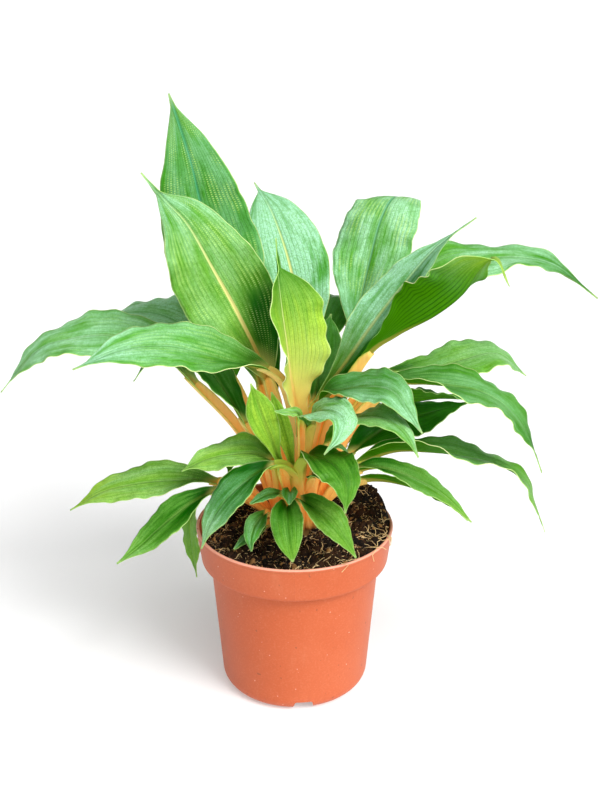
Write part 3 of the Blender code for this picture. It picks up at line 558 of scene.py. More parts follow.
def leafSheetTree():
    # a waved sheet that follows a midline: a grid laid along it and across it
    size = leafSize
    tree, given = geometryTree("leaf sheet", {
        "Rows": "Int", "Columns": "Int", "Wave Height": "Float", "Waves": "Float",
        "Wave Start": "Float", "Ripple": "Float", "Curl": "Float", "Groove": "Float"})
    path = tree.geometry("MeshToCurve", {"Mesh": given["Geometry"]})
    sheet = tree.geometry("MeshGrid", {"Size X": 1.0, "Size Y": 2.0, "Vertices X": given["Rows"],
                                       "Vertices Y": given["Columns"]})
    x, y, _ = tree.apart(tree.geometry("InputPosition"))
    along = x + 0.5
    across = y * (1.0 - size["edgeCrowd"] + size["edgeCrowd"] * abs(y))

    def onPath(name, kind="FLOAT"):
        value = tree.geometry("InputNamedAttribute", {"Name": name}, data_type=kind)
        return tree.node("GeometryNodeSampleCurve", {"mode": "FACTOR", "data_type": kind},
                         {"Curves": path, "Value": value, "Factor": along})

    sideways, centre = onPath("sideways", "FLOAT_VECTOR")[:2]
    upwards = onPath("upwards", "FLOAT_VECTOR")[0]
    half, fold, share, bend = (onPath(name)[0] for name in ("half", "fold", "share", "bend"))
    for name, value in (("along", share), ("across", across), ("halfWidth", half / mm)):
        sheet = kept(tree, sheet, name, value)
    turn = across * bend
    reach = half * tree.sin(turn) / bend * tree.cos(fold)
    crease = tree.maths("SQRT", across * across + size["crease"]**2) - size["crease"]
    trough = (1.0 - tree.cos(turn)) / bend
    onBlade = tree.maths("MAXIMUM", share, 0.0)
    edge = across * across * tree.sin(math.pi * onBlade)
    shift = (across < 0.0) * size["edgeShift"]
    waves, start, ripple = given["Waves"] * share, given["Wave Start"], given["Ripple"]
    wave = tree.sin(2 * math.pi * (waves + start) + shift)
    fine = tree.sin(2 * math.pi * (waves * size["fineWaves"] + start * 5.0) + shift * 1.7)
    frill = tree.noise(tree.vector(waves * size["frillWaves"], shift, start * 9.0), 1.0, 2.0) - 0.5
    reach = reach + ripple * frill * edge * across * size["frill"]
    reachMm = abs(across) * half / mm
    groove = given["Groove"] * tree.maths("EXPONENT", -(reachMm * reachMm))
    lift = (half * (crease * tree.sin(fold) + trough - given["Curl"] * across * across)
            + (given["Wave Height"] * wave + ripple * fine * abs(across)) * edge
            - groove * (1.0 - tree.maths("MINIMUM", onBlade, 1.0)))
    spot = tree.together(tree.together(centre, tree.along(sideways, reach)),
                         tree.along(upwards, lift))
    return closeTree(tree, tree.geometry("SetPosition", {"Geometry": sheet, "Position": spot}),
                     given)


leafSheet = leafSheetTree()


def sheetAlong(name, row, start, end, half, fold, bend, rows, columns, material):
    # the sheet over a part of a leaf's line, from one share of the blade to another
    centre, side, face, share, _, _ = leafMidline(row)
    pick = np.linspace(start, end, leafSize["lineSamples"])
    points, sideways, upwards = (
        np.column_stack([np.interp(pick, share, vector[:, axis]) for axis in range(3)])
        for vector in (centre, side, face))
    line = lineObject(name, points, {
        "sideways": sideways, "upwards": upwards, "half": half(pick) * mm,
        "fold": np.radians(fold(pick)), "bend": np.maximum(np.radians(bend(pick)), 0.001),
        "share": pick})
    height, count, phase = row["wave"]
    withTree(line, leafSheet, {
        "Rows": rows + 1, "Columns": columns + 1, "Wave Height": height * row["width"] / 100 * mm,
        "Waves": float(count), "Wave Start": phase,
        "Ripple": leafSize["ripple"] * row["width"] / leafSize["rippleWidth"] * mm,
        "Curl": row["curl"], "Groove": leafSize["groove"] * mm, "Material": material})
    return line


def makeLeaf(row, materials):
    large = row["width"] > leafSize["smallWidth"]
    rows, columns = leafSize["blades"] if large else leafSize["smallBlades"]
    leaf = sheetAlong("leaf_" + row["name"], row, 0.0, 1.0, lambda share: bladeHalf(row, share),
                      lambda share: eased(share, row["fold"]), lambda share: share * 0,
                      rows, columns, materials[0])
    mesh = thickened(leaf, leafSize["thickness"], 0.0).data
    mesh.materials.clear()
    for material in materials:
        mesh.materials.append(material)
    faces = np.full(len(mesh.polygons), 2)
    faces[:rows * columns] = 0
    faces[rows * columns:2 * rows * columns] = 1
    mesh.polygons.foreach_set("material_index", faces)
    look = {**usualLook, **leafLooks.get(row["name"], {})}
    along, across = (np.zeros(len(mesh.vertices), np.float32) for _ in range(2))
    mesh.attributes["along"].data.foreach_get("value", along)
    mesh.attributes["across"].data.foreach_get("value", across)
    shares = {name: eased(along, look[name]) for name in ("mintAndSheen", "lime", "deepAndShade")}
    # painted shade: each half darkened towards the base, or along the whole blade, added to the deep
    # share
    baseShade = np.where(across < 0, *look["dark"]) * np.clip(1.3 - 2.4 * along, 0, 1)
    shade = np.where(across < 0, *look["shade"]) * np.clip(3 - 3 * along, 0, 1)
    shares["deepAndShade"] = (shares["deepAndShade"] + baseShade * np.clip(np.abs(across) * 3 - 0.2, 0, 1)
                      + shade * np.clip(np.abs(across) * 8, 0, 1))
    for name in ("dash", "rib", "teal", "gold"):
        shares[name] = look[name]
    shares["veins"] = row["width"] / 2 / leafSize["veinGap"]
    shares["dashes"] = leafMidline(row)[4] / leafSize["dashGap"]
    shares["number"] = leafRows.index(row) * 7.3
    storeShares(mesh, shares)
    return placed(leaf, "leaf_green", "blade_" + row["name"])


# the deep colour also paints shade, and the mint colour also paints sheen
leafColour = dict(deepAndShade=(0.002, 0.10, 0.0), mid=(0.075, 0.39, 0.022), mintAndSheen=(0.42, 0.83, 0.58),
                  lime=(0.46, 0.74, 0.06), dash=(0.66, 0.92, 0.26), cream=(0.95, 0.90, 0.50),
                  margin=(0.68, 0.88, 0.32), rib=(0.98, 0.86, 0.32), orange=(1.0, 0.60, 0.14),
                  gold=(0.95, 0.92, 0.26), midline=(0.06, 0.42, 0.24), edge=(0.30, 0.66, 0.10),
                  under=(0.065, 0.27, 0.0), underRib=(0.02, 0.10, 0.0),
                  through=(0.24, 0.60, 0.02))


def leafTone(tree, place):
    # the leaf's colour with its veins, dashes, midrib and pale margin, and painted sheen and shade
    along, across = tree.attribute("along"), tree.attribute("across")
    edge = abs(across)
    colour = leafColour
    run = along * tree.attribute("dashes")
    lane = edge * tree.attribute("veins")
    number = tree.attribute("number")
    lanes = across * tree.attribute("veins")
    streak = tree.noise(tree.vector(lanes * 0.9, run * 0.045, number), 1.0, 3.0, 0.55)
    cloud = tree.noise(tree.vector(across * 2.4, run * 0.035, number), 1.0, 3.0)
    grain = tree.noise(tree.vector(lanes * 5.0, run * 1.6, number), 1.0, 2.0, 0.6)
    fine = tree.noise(place, 420.0, 2.0) * 0.3 + grain * 0.7
    # pale blue green in clouds and streaks, partly painted sheen, and dark green in clouds, partly
    # painted shade
    mintAndSheen = tree.attribute("mintAndSheen") * (tree.smooth(cloud, 0.3, 0.68) * 0.9
                                     + tree.smooth(streak, 0.35, 0.7) * 0.4)
    lime = tree.attribute("lime") * (0.7 + tree.smooth(streak, 0.3, 0.7) * 0.5)
    deepAndShade = tree.attribute("deepAndShade") * (0.5 + tree.smooth(cloud, 0.68, 0.32) * 0.55
                                     + tree.smooth(streak, 0.6, 0.4) * 0.12)
    vein = abs(tree.sin(lane * math.pi))
    fineVein = abs(tree.sin(lane * 4 * math.pi))
    beat = run + tree.maths("FLOOR", lane) * 0.37
    patch = tree.smooth(tree.noise(tree.vector(across * 2.2, run * 0.06, number + 3.0), 1.0),
                        0.42, 0.62)
    dash = (tree.smooth(tree.sin(beat * 2 * math.pi), 0.1, 0.75) * tree.smooth(vein, 0.6, 0.95)
            * tree.attribute("dash") * patch * tree.smooth(edge, 0.95, 0.85))
    tone = tree.layered(tree.mixed(mintAndSheen, colour["mid"], colour["mintAndSheen"]), colour, [
        (lime, "lime"), (deepAndShade, "deepAndShade"), (tree.smooth(vein, 0.30, 0.0) * 0.28, "deepAndShade"),
        (tree.smooth(fineVein, 0.5, 0.0) * 0.10, "deepAndShade"), (dash * 0.7, "dash")])
    speckle = tree.mixed(tree.smooth(fine, 0.34, 0.66), (0.62, 0.75, 0.46), (1.24, 1.14, 1.15))
    tone = tree.mixed(1.0, tone, speckle, "MULTIPLY")
    left = 1.0 - along
    half = tree.attribute("halfWidth")
    reach = edge * half
    rib = tree.smooth(reach / (0.45 + 2.0 * left * left), 1.15, 0.7)
    ribTone = tree.layered(tree.mixed(tree.smooth(along, 0.02, 0.35), colour["orange"],
                                      colour["rib"]),
                           colour, [(tree.smooth(along, 0.35, 0.75), "margin")])
    gold = tree.attribute("gold")
    wedge = along + edge * 0.075
    tone = tree.layered(tone, colour, [
        (tree.smooth(reach, 1.3, 0.4) * tree.attribute("teal") * 0.6, "midline"),
        # painted shade: a dark line along each side of the midrib's groove
        (tree.smooth(abs(reach - 0.9), 0.5, 0.1) * 0.35, "deepAndShade"),
        (tree.smooth(wedge, gold, gold * 0.3) * 0.8, "gold")])
    tone = tree.mixed(rib * tree.attribute("rib") * tree.smooth(along, 0.95, 0.6), tone, ribTone)
    margin = tree.smooth((1.0 - edge) * half, 0.62, 0.2) * tree.smooth(half, 4.0, 18.0, 0.3, 0.8)
    tone = tree.layered(tone, colour, [
        (tree.smooth(wedge, gold * 0.62, gold * 0.1) * 0.9, "orange"), (margin, "margin"),
        (tree.smooth(along, 0.94, 1.0) * 0.5, "margin")])
    return tone, vein, rib, fine, streak


def leafMaterial(name, top):
    material, tree, shader, place = newMaterial(name)
    tone, vein, rib, fine, streak = leafTone(tree, place)
    colour = leafColour
    if not top:
        # the underside's olive, darker than the top, is partly its own colour and partly painted shade
        shade = tree.mixed(tree.smooth(vein, 0.6, 0.1), colour["under"], colour["underRib"])
        tone = tree.mixed(0.95 - tree.attribute("lime") * 0.8, tone, shade)
        ribTone = tree.mixed(tree.smooth(tree.attribute("along"), 0.05, 0.5), colour["orange"],
                             colour["underRib"])
        tone = tree.mixed(rib * 0.35, tone, ribTone)
    tree.feed(shader, {"Base Color": tone, "Specular IOR Level": 0.10 if top else 0.02,
                       "Roughness": (0.26 if top else 0.5) + 0.10 * fine + 0.10 * streak})
    bumped(tree, shader, tree.smooth(vein, 0.0, 0.6) - rib * 0.5 + fine * 0.3 + streak * 0.8,
           0.0004, 0.5)
    litThrough(tree, shader, 0.26, colour["through"])
    return material


def marginMaterial():
    material, tree, shader, place = newMaterial("leaf margin")
    broad = tree.smooth(tree.attribute("halfWidth"), 8.0, 17.0)
    cream = tree.smooth(tree.noise(place, 45.0), 0.4, 0.65) * broad
    tone = tree.mixed(0.3 + broad * 0.6, leafColour["edge"], leafColour["margin"])
    tone = tree.mixed(cream * 0.8, tone, leafColour["cream"])
    tree.feed(shader, {"Base Color": tone, "Roughness": 0.5, "Specular IOR Level": 0.1})
    return material


leafMaterials = [leafMaterial("leaf top", True), leafMaterial("leaf underside", False),
                 marginMaterial()]
for row in leafRows:
    makeLeaf(row, leafMaterials)

# Stalks: channelled strips that clasp the crown and open out towards the blades
stalkSize = dict(thickness=1.3, footHalf=4.3, footBend=100, midBend=70, rows=34, columns=14,
                 runIn=0.05, sink=9)
stalkColour = dict(foot=(0.90, 0.37, 0.06), mid=(0.98, 0.51, 0.10), upper=(0.98, 0.66, 0.15),
                   green=(0.36, 0.58, 0.05), pale=(1.0, 0.82, 0.28), dryAndShade=(0.58, 0.27, 0.05),
                   footShade=(0.10, 0.035, 0.012))
# how much each stalk is lightened above the crown: partly the stalk's paler colour, partly painted
# light where it lies in the leaves' shade
stalkPaleAndLit = {"young_centre": 0.95, "tall_left": 0.45, "broad_left": 0.6, "far_left": 0.3,
             "narrow_left": 0.4, "tall_back": 0.5}
stalkGreen = {"front_left": 1.0, "front_right": 0.9, "curled_left": 0.5, "pale_strip": 0.9,
              "mint_front": 0.5, "small_narrow": 0.9, "small_tip": 0.9, "erect_front": 0.6}


def stalkMaterial():
    material, tree, shader, place = newMaterial("stalk orange")
    colour = stalkColour
    along = tree.attribute("along")
    edge = abs(tree.attribute("across"))
    x, y, z = tree.apart(place)
    streak = tree.noise(tree.vector(x * 3.0, y * 3.0, z * 0.25), 180.0, 3.0)
    broad = tree.noise(place, 60.0, 2.0)
    tone = tree.mixed(tree.smooth(z, 0.105, 0.15) * 0.9, colour["foot"], colour["mid"])
    tone = tree.layered(tone, colour, [
        (tree.smooth(along, -0.45, 0.0), "upper"),
        (tree.smooth(along, -0.18, 0.05) * tree.smooth(edge, 0.45, 1.0) * 0.8, "green"),
        (tree.smooth(edge, 0.75, 1.0) * tree.smooth(z, 0.12, 0.15) * 0.5, "green"),
        (tree.smooth(streak, 0.5, 0.75) * 0.3, "pale"),
        (tree.smooth(streak, 0.5, 0.3) * 0.3, "dryAndShade"),
        (tree.smooth(broad, 0.5, 0.75) * 0.2, "foot"),
        # painted shade: the stalks' edges darkened low in the crown, where the stalks meet
        (tree.smooth(edge, 0.8, 1.0) * tree.smooth(z, 0.15, 0.125) * 0.6, "dryAndShade"),
        # painted shade: the stalks darkened just above the soil
        (tree.smooth(z + streak * 0.014, 0.125, 0.112) * 0.9, "footShade"),
        # stalks lightened above the crown: partly their paler colour, partly painted light
        (tree.attribute("pale") * tree.smooth(z, 0.118, 0.160), "pale"),
        (tree.attribute("greenish") * tree.smooth(along, -0.42, -0.05) * 0.9, "green")])
    # the stalks glow faintly in their own tone: painted light on stalks that lie in the leaves' shade
    tree.feed(shader, {"Base Color": tone, "Roughness": 0.34 + 0.2 * streak,
                       "Emission Color": tone, "Emission Strength": 0.12})
    bumped(tree, shader, streak, 0.0004, 0.35)
    litThrough(tree, shader, 0.22, colour["mid"])
    return material


def makeStalk(row, material):
    size = stalkSize
    foot = leafMidline(row)[3][0]
    neckHalf = float(bladeHalf(row, np.array([0.0]))[0])
    footHalf = size["footHalf"] * (row["neck"] / 8)**0.6

    def rise(pick):
        return np.clip(1 - pick / foot, 0, 1)

    def half(pick):
        blade = bladeHalf(row, np.maximum(pick, 0))
        return np.where(pick < 0, footHalf + (neckHalf - footHalf) * rise(pick)**1.3,
                        np.minimum(blade, neckHalf) * (1 - pick / size["runIn"] * 0.6))

    def fold(pick):
        return np.where(pick < 0, row["fold"][0] * rise(pick)**3, eased(pick, row["fold"]))

    def bend(pick):
        turn = size["footBend"] + (size["midBend"] - size["footBend"]) * rise(pick)
        return np.where(pick < 0, turn * (1 - rise(pick)**4), 0)

    strip = sheetAlong("stalk_" + row["name"], row, foot, size["runIn"], half, fold, bend,
                       size["rows"], size["columns"], material)
    thickened(strip, size["thickness"], -0.8)
    storeShares(strip.data, {"pale": stalkPaleAndLit.get(row["name"], 0.0),
                             "greenish": stalkGreen.get(row["name"], 0.0)})
    return strip


stalkOrange = stalkMaterial()
strips = [makeStalk(row, stalkOrange) for row in leafRows]


def turnedTree():
    # a closed shape turned about Z from a profile: each point of a grid takes its profile
    # point by its number
    tree, given = geometryTree("turned", {"Steps": "Int", "Points": "Int", "Lump": "Float",
                                          "Lump Scale": "Float"})
    grid = tree.geometry("MeshGrid", {"Size X": 1.0, "Size Y": 1.0,
                                      "Vertices X": given["Steps"] + 1.0,
                                      "Vertices Y": given["Points"]})
    number = tree.geometry("InputIndex")
    step = tree.maths("FLOOR", (number + 0.5) / given["Points"])
    point = number - step * given["Points"]
    place = tree.geometry("SampleIndex", {"Geometry": given["Geometry"], "Index": point,
                                          "Value": tree.geometry("InputPosition")},
                          data_type="FLOAT_VECTOR", domain="POINT")
    radius, _, height = tree.apart(place)
    turn = step / given["Steps"] * 2 * math.pi
    spot = tree.vector(radius * tree.cos(turn), radius * tree.sin(turn), height)
    lump = given["Lump"] * (tree.noise(spot, given["Lump Scale"], 3.0) - 0.5)
    radius = radius + (radius > 0.0005) * lump
    spot = tree.vector(radius * tree.cos(turn), radius * tree.sin(turn), height + lump)
    shape = tree.geometry("SetPosition", {"Geometry": grid, "Position": spot})
    shape = tree.geometry("MergeByDistance", {"Geometry": shape, "Distance": 0.000005})
    return closeTree(tree, shape, given)


turnedShape = turnedTree()


def turnedObject(name, profile, steps, material, lump=0.0, lumpScale=100.0):
    obj = newObject(name, [(radius * mm, 0, height * mm) for radius, height in profile])
    withTree(obj, turnedShape, {"Steps": steps, "Points": len(profile), "Lump": lump * mm,
                                "Lump Scale": lumpScale, "Material": material})
    return madePlain(obj)


# the crown that the stalks stand round
crownSize = dict(radius=11.0, top=121.0, dome=12.0, foot=92.0, x=-1.0, y=-2.0, steps=48, lump=2.5,
                 lumpScale=130.0)


def makeCrown():
    size = crownSize
    profile = [(size["radius"] * part**0.7, size["top"] - size["dome"] * part**2)
               for part in np.linspace(0, 1, 14)]
    profile += [(size["radius"] * 1.1, size["foot"] + 6), (size["radius"], size["foot"]),
                (0, size["foot"])]
    crown = turnedObject("crown", profile, size["steps"], stalkOrange, size["lump"],
                         size["lumpScale"])
    crown.data.transform(Matrix.Translation((size["x"] * mm, size["y"] * mm, 0)))
    return crown


stalks = joinedTo(makeCrown(), strips)
stalks.name = stalks.data.name = "stalk_clump"
placed(stalks, "stalk_orange", "stalks")

# Pot: the CAD pot's sizes, with rounder edges and a finer turn
potSize = dict(rim=60.0, height=106.0, band=22.0, bandFoot=57.1, bodyTop=51.8, bodyFoot=45.0,
               wall=1.6, edge=8.0, floor=7.0, centreFoot=20.0, step=1.4, gap=0.3, turns=160,
               holes=6, holeRadius=3.5, holeRing=31.0, holeBearing=30, notches=3,
               notchBearing=-83, notchWidth=13.5, notchHeight=6.8, notchDepth=24.0,
               notchTop=0.78, notchRound=1.0, sharp=38)
potColour = dict(plastic=(0.51, 0.100, 0.029), worn=(0.76, 0.25, 0.13), dust=(0.66, 0.28, 0.15),
                 speckAndShade=(0.26, 0.07, 0.03), light=(0.86, 0.55, 0.42), lipHighlight=(0.84, 0.40, 0.29))


def arcPoints(x, z, radius, start, end, steps):
    turns = np.radians(np.linspace(start, end, steps))
    return [(x + radius * math.cos(turn), z + radius * math.sin(turn)) for turn in turns]


def bodyRadius(height):
    size = potSize
    share = height / (size["height"] - size["band"])
    return size["bodyFoot"] + (size["bodyTop"] - size["bodyFoot"]) * share


def innerRadius(height, inset=0.0):
    # radius of the pot's inside in its band
    size = potSize
    low, high = size["height"] - size["band"] + size["wall"], size["height"]
    return np.interp(height, [low, high], [size["bandFoot"] - size["wall"] - inset,
                                           size["rim"] - size["wall"] - inset])


def makePotProfile():
    size = potSize
    shoulder = size["height"] - size["band"]
    wall, gap, edge, step = size["wall"], size["gap"], size["edge"], size["step"]
    inner = size["floor"] + wall
    centre = bodyRadius(edge) - edge
    points = [(0, wall), (size["centreFoot"] - wall, wall),
              (size["centreFoot"] + gap - wall, inner), (bodyRadius(inner) - wall, inner),
              (size["bodyTop"] - wall, shoulder - step),
              (size["bandFoot"] - wall, shoulder + wall)]
    points += [(float(innerRadius(height)), height) for height in (95, 101, 104.6)]
    points += arcPoints(size["rim"] - 0.95, size["height"] - 0.95, 0.95, 150, -35, 9)
    points += [(size["rim"] - 0.28, size["height"] - 2.2), (size["rim"] - 0.42, 103.0),
               (size["rim"] - 0.72, 101.0)]
    low, high = size["bandFoot"], size["rim"] - 0.72
    points += [(low + (high - low) * (height - shoulder) / 17.0, height)
               for height in (97, 93, 89, 86, 84.9)]
    points += arcPoints(size["bandFoot"] - 0.7, shoulder + 0.7, 0.7, 0, -90, 5)
    points += [(size["bodyTop"] + step * 1.5, shoulder - 0.05)]
    points += [(size["bodyTop"] + step * (1 - math.sin(math.radians(turn))),
                shoulder - step * (1 - math.cos(math.radians(turn))) - 0.1)
               for turn in (18, 36, 54, 72)]
    points += [(bodyRadius(height), height) for height in (81, 72, 60, 48, 36, 24, 14)]
    points += arcPoints(centre, edge, edge, 0, -90, 10)
    under = arcPoints(centre, edge, edge - wall, -90, 0, 8)
    points += [(centre - wall, 0)] + [(x, z) for x, z in under if z < size["floor"] - gap]
    points += [(bodyRadius(size["floor"]) - wall, size["floor"]),
               (size["centreFoot"] + gap, size["floor"]), (size["centreFoot"], 0), (0, 0)]
    return points


def makePot(material):
    size = potSize
    pot = turnedObject("pot_shell", makePotProfile()[::-1], size["turns"], material)
    cutters = bpy.data.collections.new("cutters")
    scene.collection.children.link(cutters)
    for number in range(size["holes"]):
        turn = math.radians(size["holeBearing"] + 360 * number / size["holes"])
        bpy.ops.mesh.primitive_cylinder_add(
            vertices=32, radius=size["holeRadius"] * mm, depth=4 * size["wall"] * mm,
            location=(size["holeRing"] * mm * math.cos(turn),
                      size["holeRing"] * mm * math.sin(turn),
                      (size["floor"] + size["wall"] / 2) * mm))
        cutters.objects.link(bpy.context.object)
    for number in range(size["notches"]):
        turn = math.radians(size["notchBearing"] + 360 * number / size["notches"])
        bpy.ops.mesh.primitive_cube_add(size=1)
        block = bpy.context.object
        for vertex in block.data.vertices:
            x, y, z = vertex.co
            flare = 1.0 if z < 0 else size["notchTop"]
            vertex.co = (x * size["notchDepth"] * mm, y * size["notchWidth"] * flare * mm,
                         size["notchHeight"] * mm if z > 0 else -size["wall"] * mm)
        block.location = (size["bodyFoot"] * mm * math.cos(turn),
                          size["bodyFoot"] * mm * math.sin(turn), 0)
        block.rotation_euler.z = turn
        rounded = block.modifiers.new("rounded", "BEVEL")
        rounded.width = size["notchRound"] * mm
        rounded.segments = 3
        cutters.objects.link(block)
    cut = pot.modifiers.new("openings", "BOOLEAN")
    cut.operand_type = "COLLECTION"
    cut.collection = cutters
    cut.operation = "DIFFERENCE"
    cut.solver = "EXACT"
    madePlain(pot)
    for obj in list(cutters.objects):
        bpy.data.objects.remove(obj, do_unlink=True)
    bpy.data.collections.remove(cutters)
    pot.data.set_sharp_from_angle(angle=math.radians(size["sharp"]))
    return placed(pot, "pot_plastic", "pot")


def potMaterial():
    material, tree, shader, place = newMaterial("terracotta plastic")
    colour = potColour
    x, y, z = tree.apart(place)
    broad = tree.noise(place, 18.0, 3.0)
    fine = tree.noise(place, 900.0, 2.0)
    streak = tree.noise(tree.vector(x, y, z * 0.12), 140.0, 3.0)
    # painted highlight: the rim's rounded top lightened in a pale pink
    lipHighlight = tree.smooth(z, 0.1046, 0.1056)
    tone = tree.mixed(tree.smooth(broad, 0.35, 0.7) * 0.12, colour["plastic"], colour["worn"])
    tone = tree.layered(tone, colour, [
        (tree.smooth(streak, 0.58, 0.76) * 0.10, "dust"),
        # painted shade: a thin dark line just under the rim's lip
        (tree.smooth(abs(z - 0.1036), 0.0008, 0.0) * 0.22, "speckAndShade"), (lipHighlight * 0.8, "lipHighlight"),
        (tree.smooth(fine, 0.5, 0.3) * 0.10, "speckAndShade"),
        (tree.smooth(fine, 0.5, 0.7) * 0.12, "dust"),
        (tree.smooth(tree.noise(place, 420.0, 0.0), 0.82, 0.85) * 0.7, "speckAndShade"),
        (tree.smooth(tree.noise(place, 640.0, 0.0), 0.84, 0.88) * 0.6, "light")])
    tree.feed(shader, {"Base Color": tone, "Specular IOR Level": 0.3,
                       "Roughness": 0.36 + 0.14 * broad + 0.08 * fine - lipHighlight * 0.08})
    seam = tree.smooth(abs(x - 0.0006), 0.0004, 0.0001) * (y < 0.0) * (z > 0.085)
    bumped(tree, shader, seam * 0.3 + fine * 0.12 + streak * 0.12, 0.0004, 0.5)
    return material


makePot(potMaterial())

# Soil: the filling with its lumps, crumbs, fibres and fine roots
soilSize = dict(level=102.5, riseRight=4.5, riseBack=1.5, lump=0.9, lumpLength=5.0, wallDrop=2.5,
                lowest=4.5, wallReach=51, scatterFoot=93.0, moundX=49.0, moundY=29.0, mound=11.0,
                moundRadius=18.0, turns=200, rings=60, rough=2.6, roots=90, rootRadius=0.22,
                rootStep=2.0, rimRoots=7)
crumbSize = dict(count=7500, size=1.4, spread=1.6, seed=5, reach=56.0, tilt=6.0)
largeCrumbSize = dict(count=900, size=2.6, spread=1.2, seed=9, reach=54.5, tilt=6.0)
fibreSize = dict(count=4200, size=3.0, spread=1.2, seed=13, reach=54.0, tilt=1.6)
soilColour = dict(dark=(0.003, 0.0015, 0.001), brown=(0.036, 0.014, 0.005),
                  tan=(0.36, 0.18, 0.06), root=(0.72, 0.50, 0.24))


def soilHeight(x, y):
    size = soilSize
    u, v = x / size["lumpLength"], y / size["lumpLength"]
    lumps = (np.sin(0.7 * u + 1) * np.cos(0.8 * v) + np.sin(1.5 * u - v) + np.cos(2 * v + u))
    away = np.hypot(x - size["moundX"], y - size["moundY"]) / size["moundRadius"]
    return (size["level"] + size["riseRight"] * x / potSize["rim"]
            + size["riseBack"] * y / potSize["rim"] + size["lump"] * lumps
            + size["mound"] * np.exp(-away**2))


def soilMaterial(name, light):
    material, tree, shader, place = newMaterial(name)
    grain = tree.noise(place, 520.0, 4.0, 0.7)
    tint = tree.attribute("tint")
    tone = tree.mixed(tree.smooth(tree.noise(place, 90.0) + tint * 0.3, 0.45, 0.85),
                      soilColour["dark"], soilColour["brown"])
    tone = tree.layered(tone, soilColour, [
        (tree.smooth(tint, 0.86, 0.98) * light, "tan"),
        (tree.smooth(grain, 0.60, 0.72) * light * 0.5, "tan")])
    tree.feed(shader, {"Base Color": tone, "Roughness": 0.75 + 0.25 * grain,
                       "Specular IOR Level": 0.2})
    bumped(tree, shader, grain, 0.001, 0.9)
    return material


def strandMaterial(name, first, second):
    material, tree, shader, place = newMaterial(name)
    share = tree.smooth(tree.noise(place, 90.0) * 0.4 + tree.attribute("tint") * 0.8, 0.3, 0.8)
    tree.feed(shader, {"Base Color": tree.mixed(share, first, second), "Roughness": 0.7})
    bumped(tree, shader, tree.noise(place, 800.0), 0.0003, 0.5)
    return material


def soilTree():
    # roughens the top of the filling
    tree, given = geometryTree("rough soil", {"Rough": "Float", "Foot": "Float"})
    x, y, z = tree.apart(tree.geometry("InputPosition"))
    rough = (tree.noise(tree.vector(x, y, 0.0), 75.0, 5.0, 0.7) - 0.5) * 2.0
    inner = tree.smooth(tree.maths("SQRT", x * x + y * y), 0.0580, 0.054, 0.35, 1.0)
    lift = given["Rough"] * rough * (z > given["Foot"]) * inner
    shape = tree.geometry("SetPosition", {"Geometry": given["Geometry"],
                                          "Offset": tree.vector(0.0, 0.0, lift)})
    return closeTree(tree, shape, given)


def makeSoil(material):
    size = soilSize
    gap = potSize["gap"]
    inner = potSize["floor"] + potSize["wall"] + gap
    shoulder = potSize["height"] - potSize["band"]
    edge = size["level"] - size["wallDrop"]
    outer = float(innerRadius(edge, gap))
    profile = [(0, inner), (bodyRadius(inner) - potSize["wall"] - gap, inner),
               (potSize["bodyTop"] - potSize["wall"] - gap, shoulder - potSize["step"]),
               (potSize["bandFoot"] - potSize["wall"] - gap, shoulder + potSize["wall"]),
               (float(innerRadius(94, gap)), 94)]
    profile += [(ring, edge) for ring in np.linspace(outer, 0, size["rings"])]
    soil = turnedObject("soil_mound", profile, size["turns"], material)
    place = np.zeros(len(soil.data.vertices) * 3)
    soil.data.vertices.foreach_get("co", place)
    place = place.reshape(-1, 3) / mm
    radius = np.hypot(place[:, 0], place[:, 1])
    top = place[:, 2] > edge - gap
    rise = soilHeight(place[:, 0], place[:, 1]) - size["level"]
    near = np.clip((radius - size["wallReach"]) / (outer - size["wallReach"]), 0, 1)
    place[top, 2] += (rise + size["wallDrop"] * (1 - near))[top]
    wide = top & (radius > size["wallReach"])
    grow = 1 + (innerRadius(place[:, 2], gap) / innerRadius(edge, gap) - 1) * near
    place[wide, :2] *= grow[wide, None]
    soil.data.vertices.foreach_set("co", (place * mm).ravel())
    withTree(soil, soilTree(), {"Rough": size["rough"] * mm, "Foot": (edge - size["lowest"]) * mm,
                                "Material": material})
    madePlain(soil)
    return placed(soil, "soil", "soil")


def chance(tree, low, high, seed):
    # a random number for each copy, or a vector where low is one
    if isinstance(low, tuple):
        return tree.node("FunctionNodeRandomValue", {"data_type": "FLOAT_VECTOR"},
                         {0: low, 1: high, "Seed": seed})[0]
    return tree.node("FunctionNodeRandomValue", {"data_type": "FLOAT"},
                     {2: low, 3: high, "Seed": seed})[1]


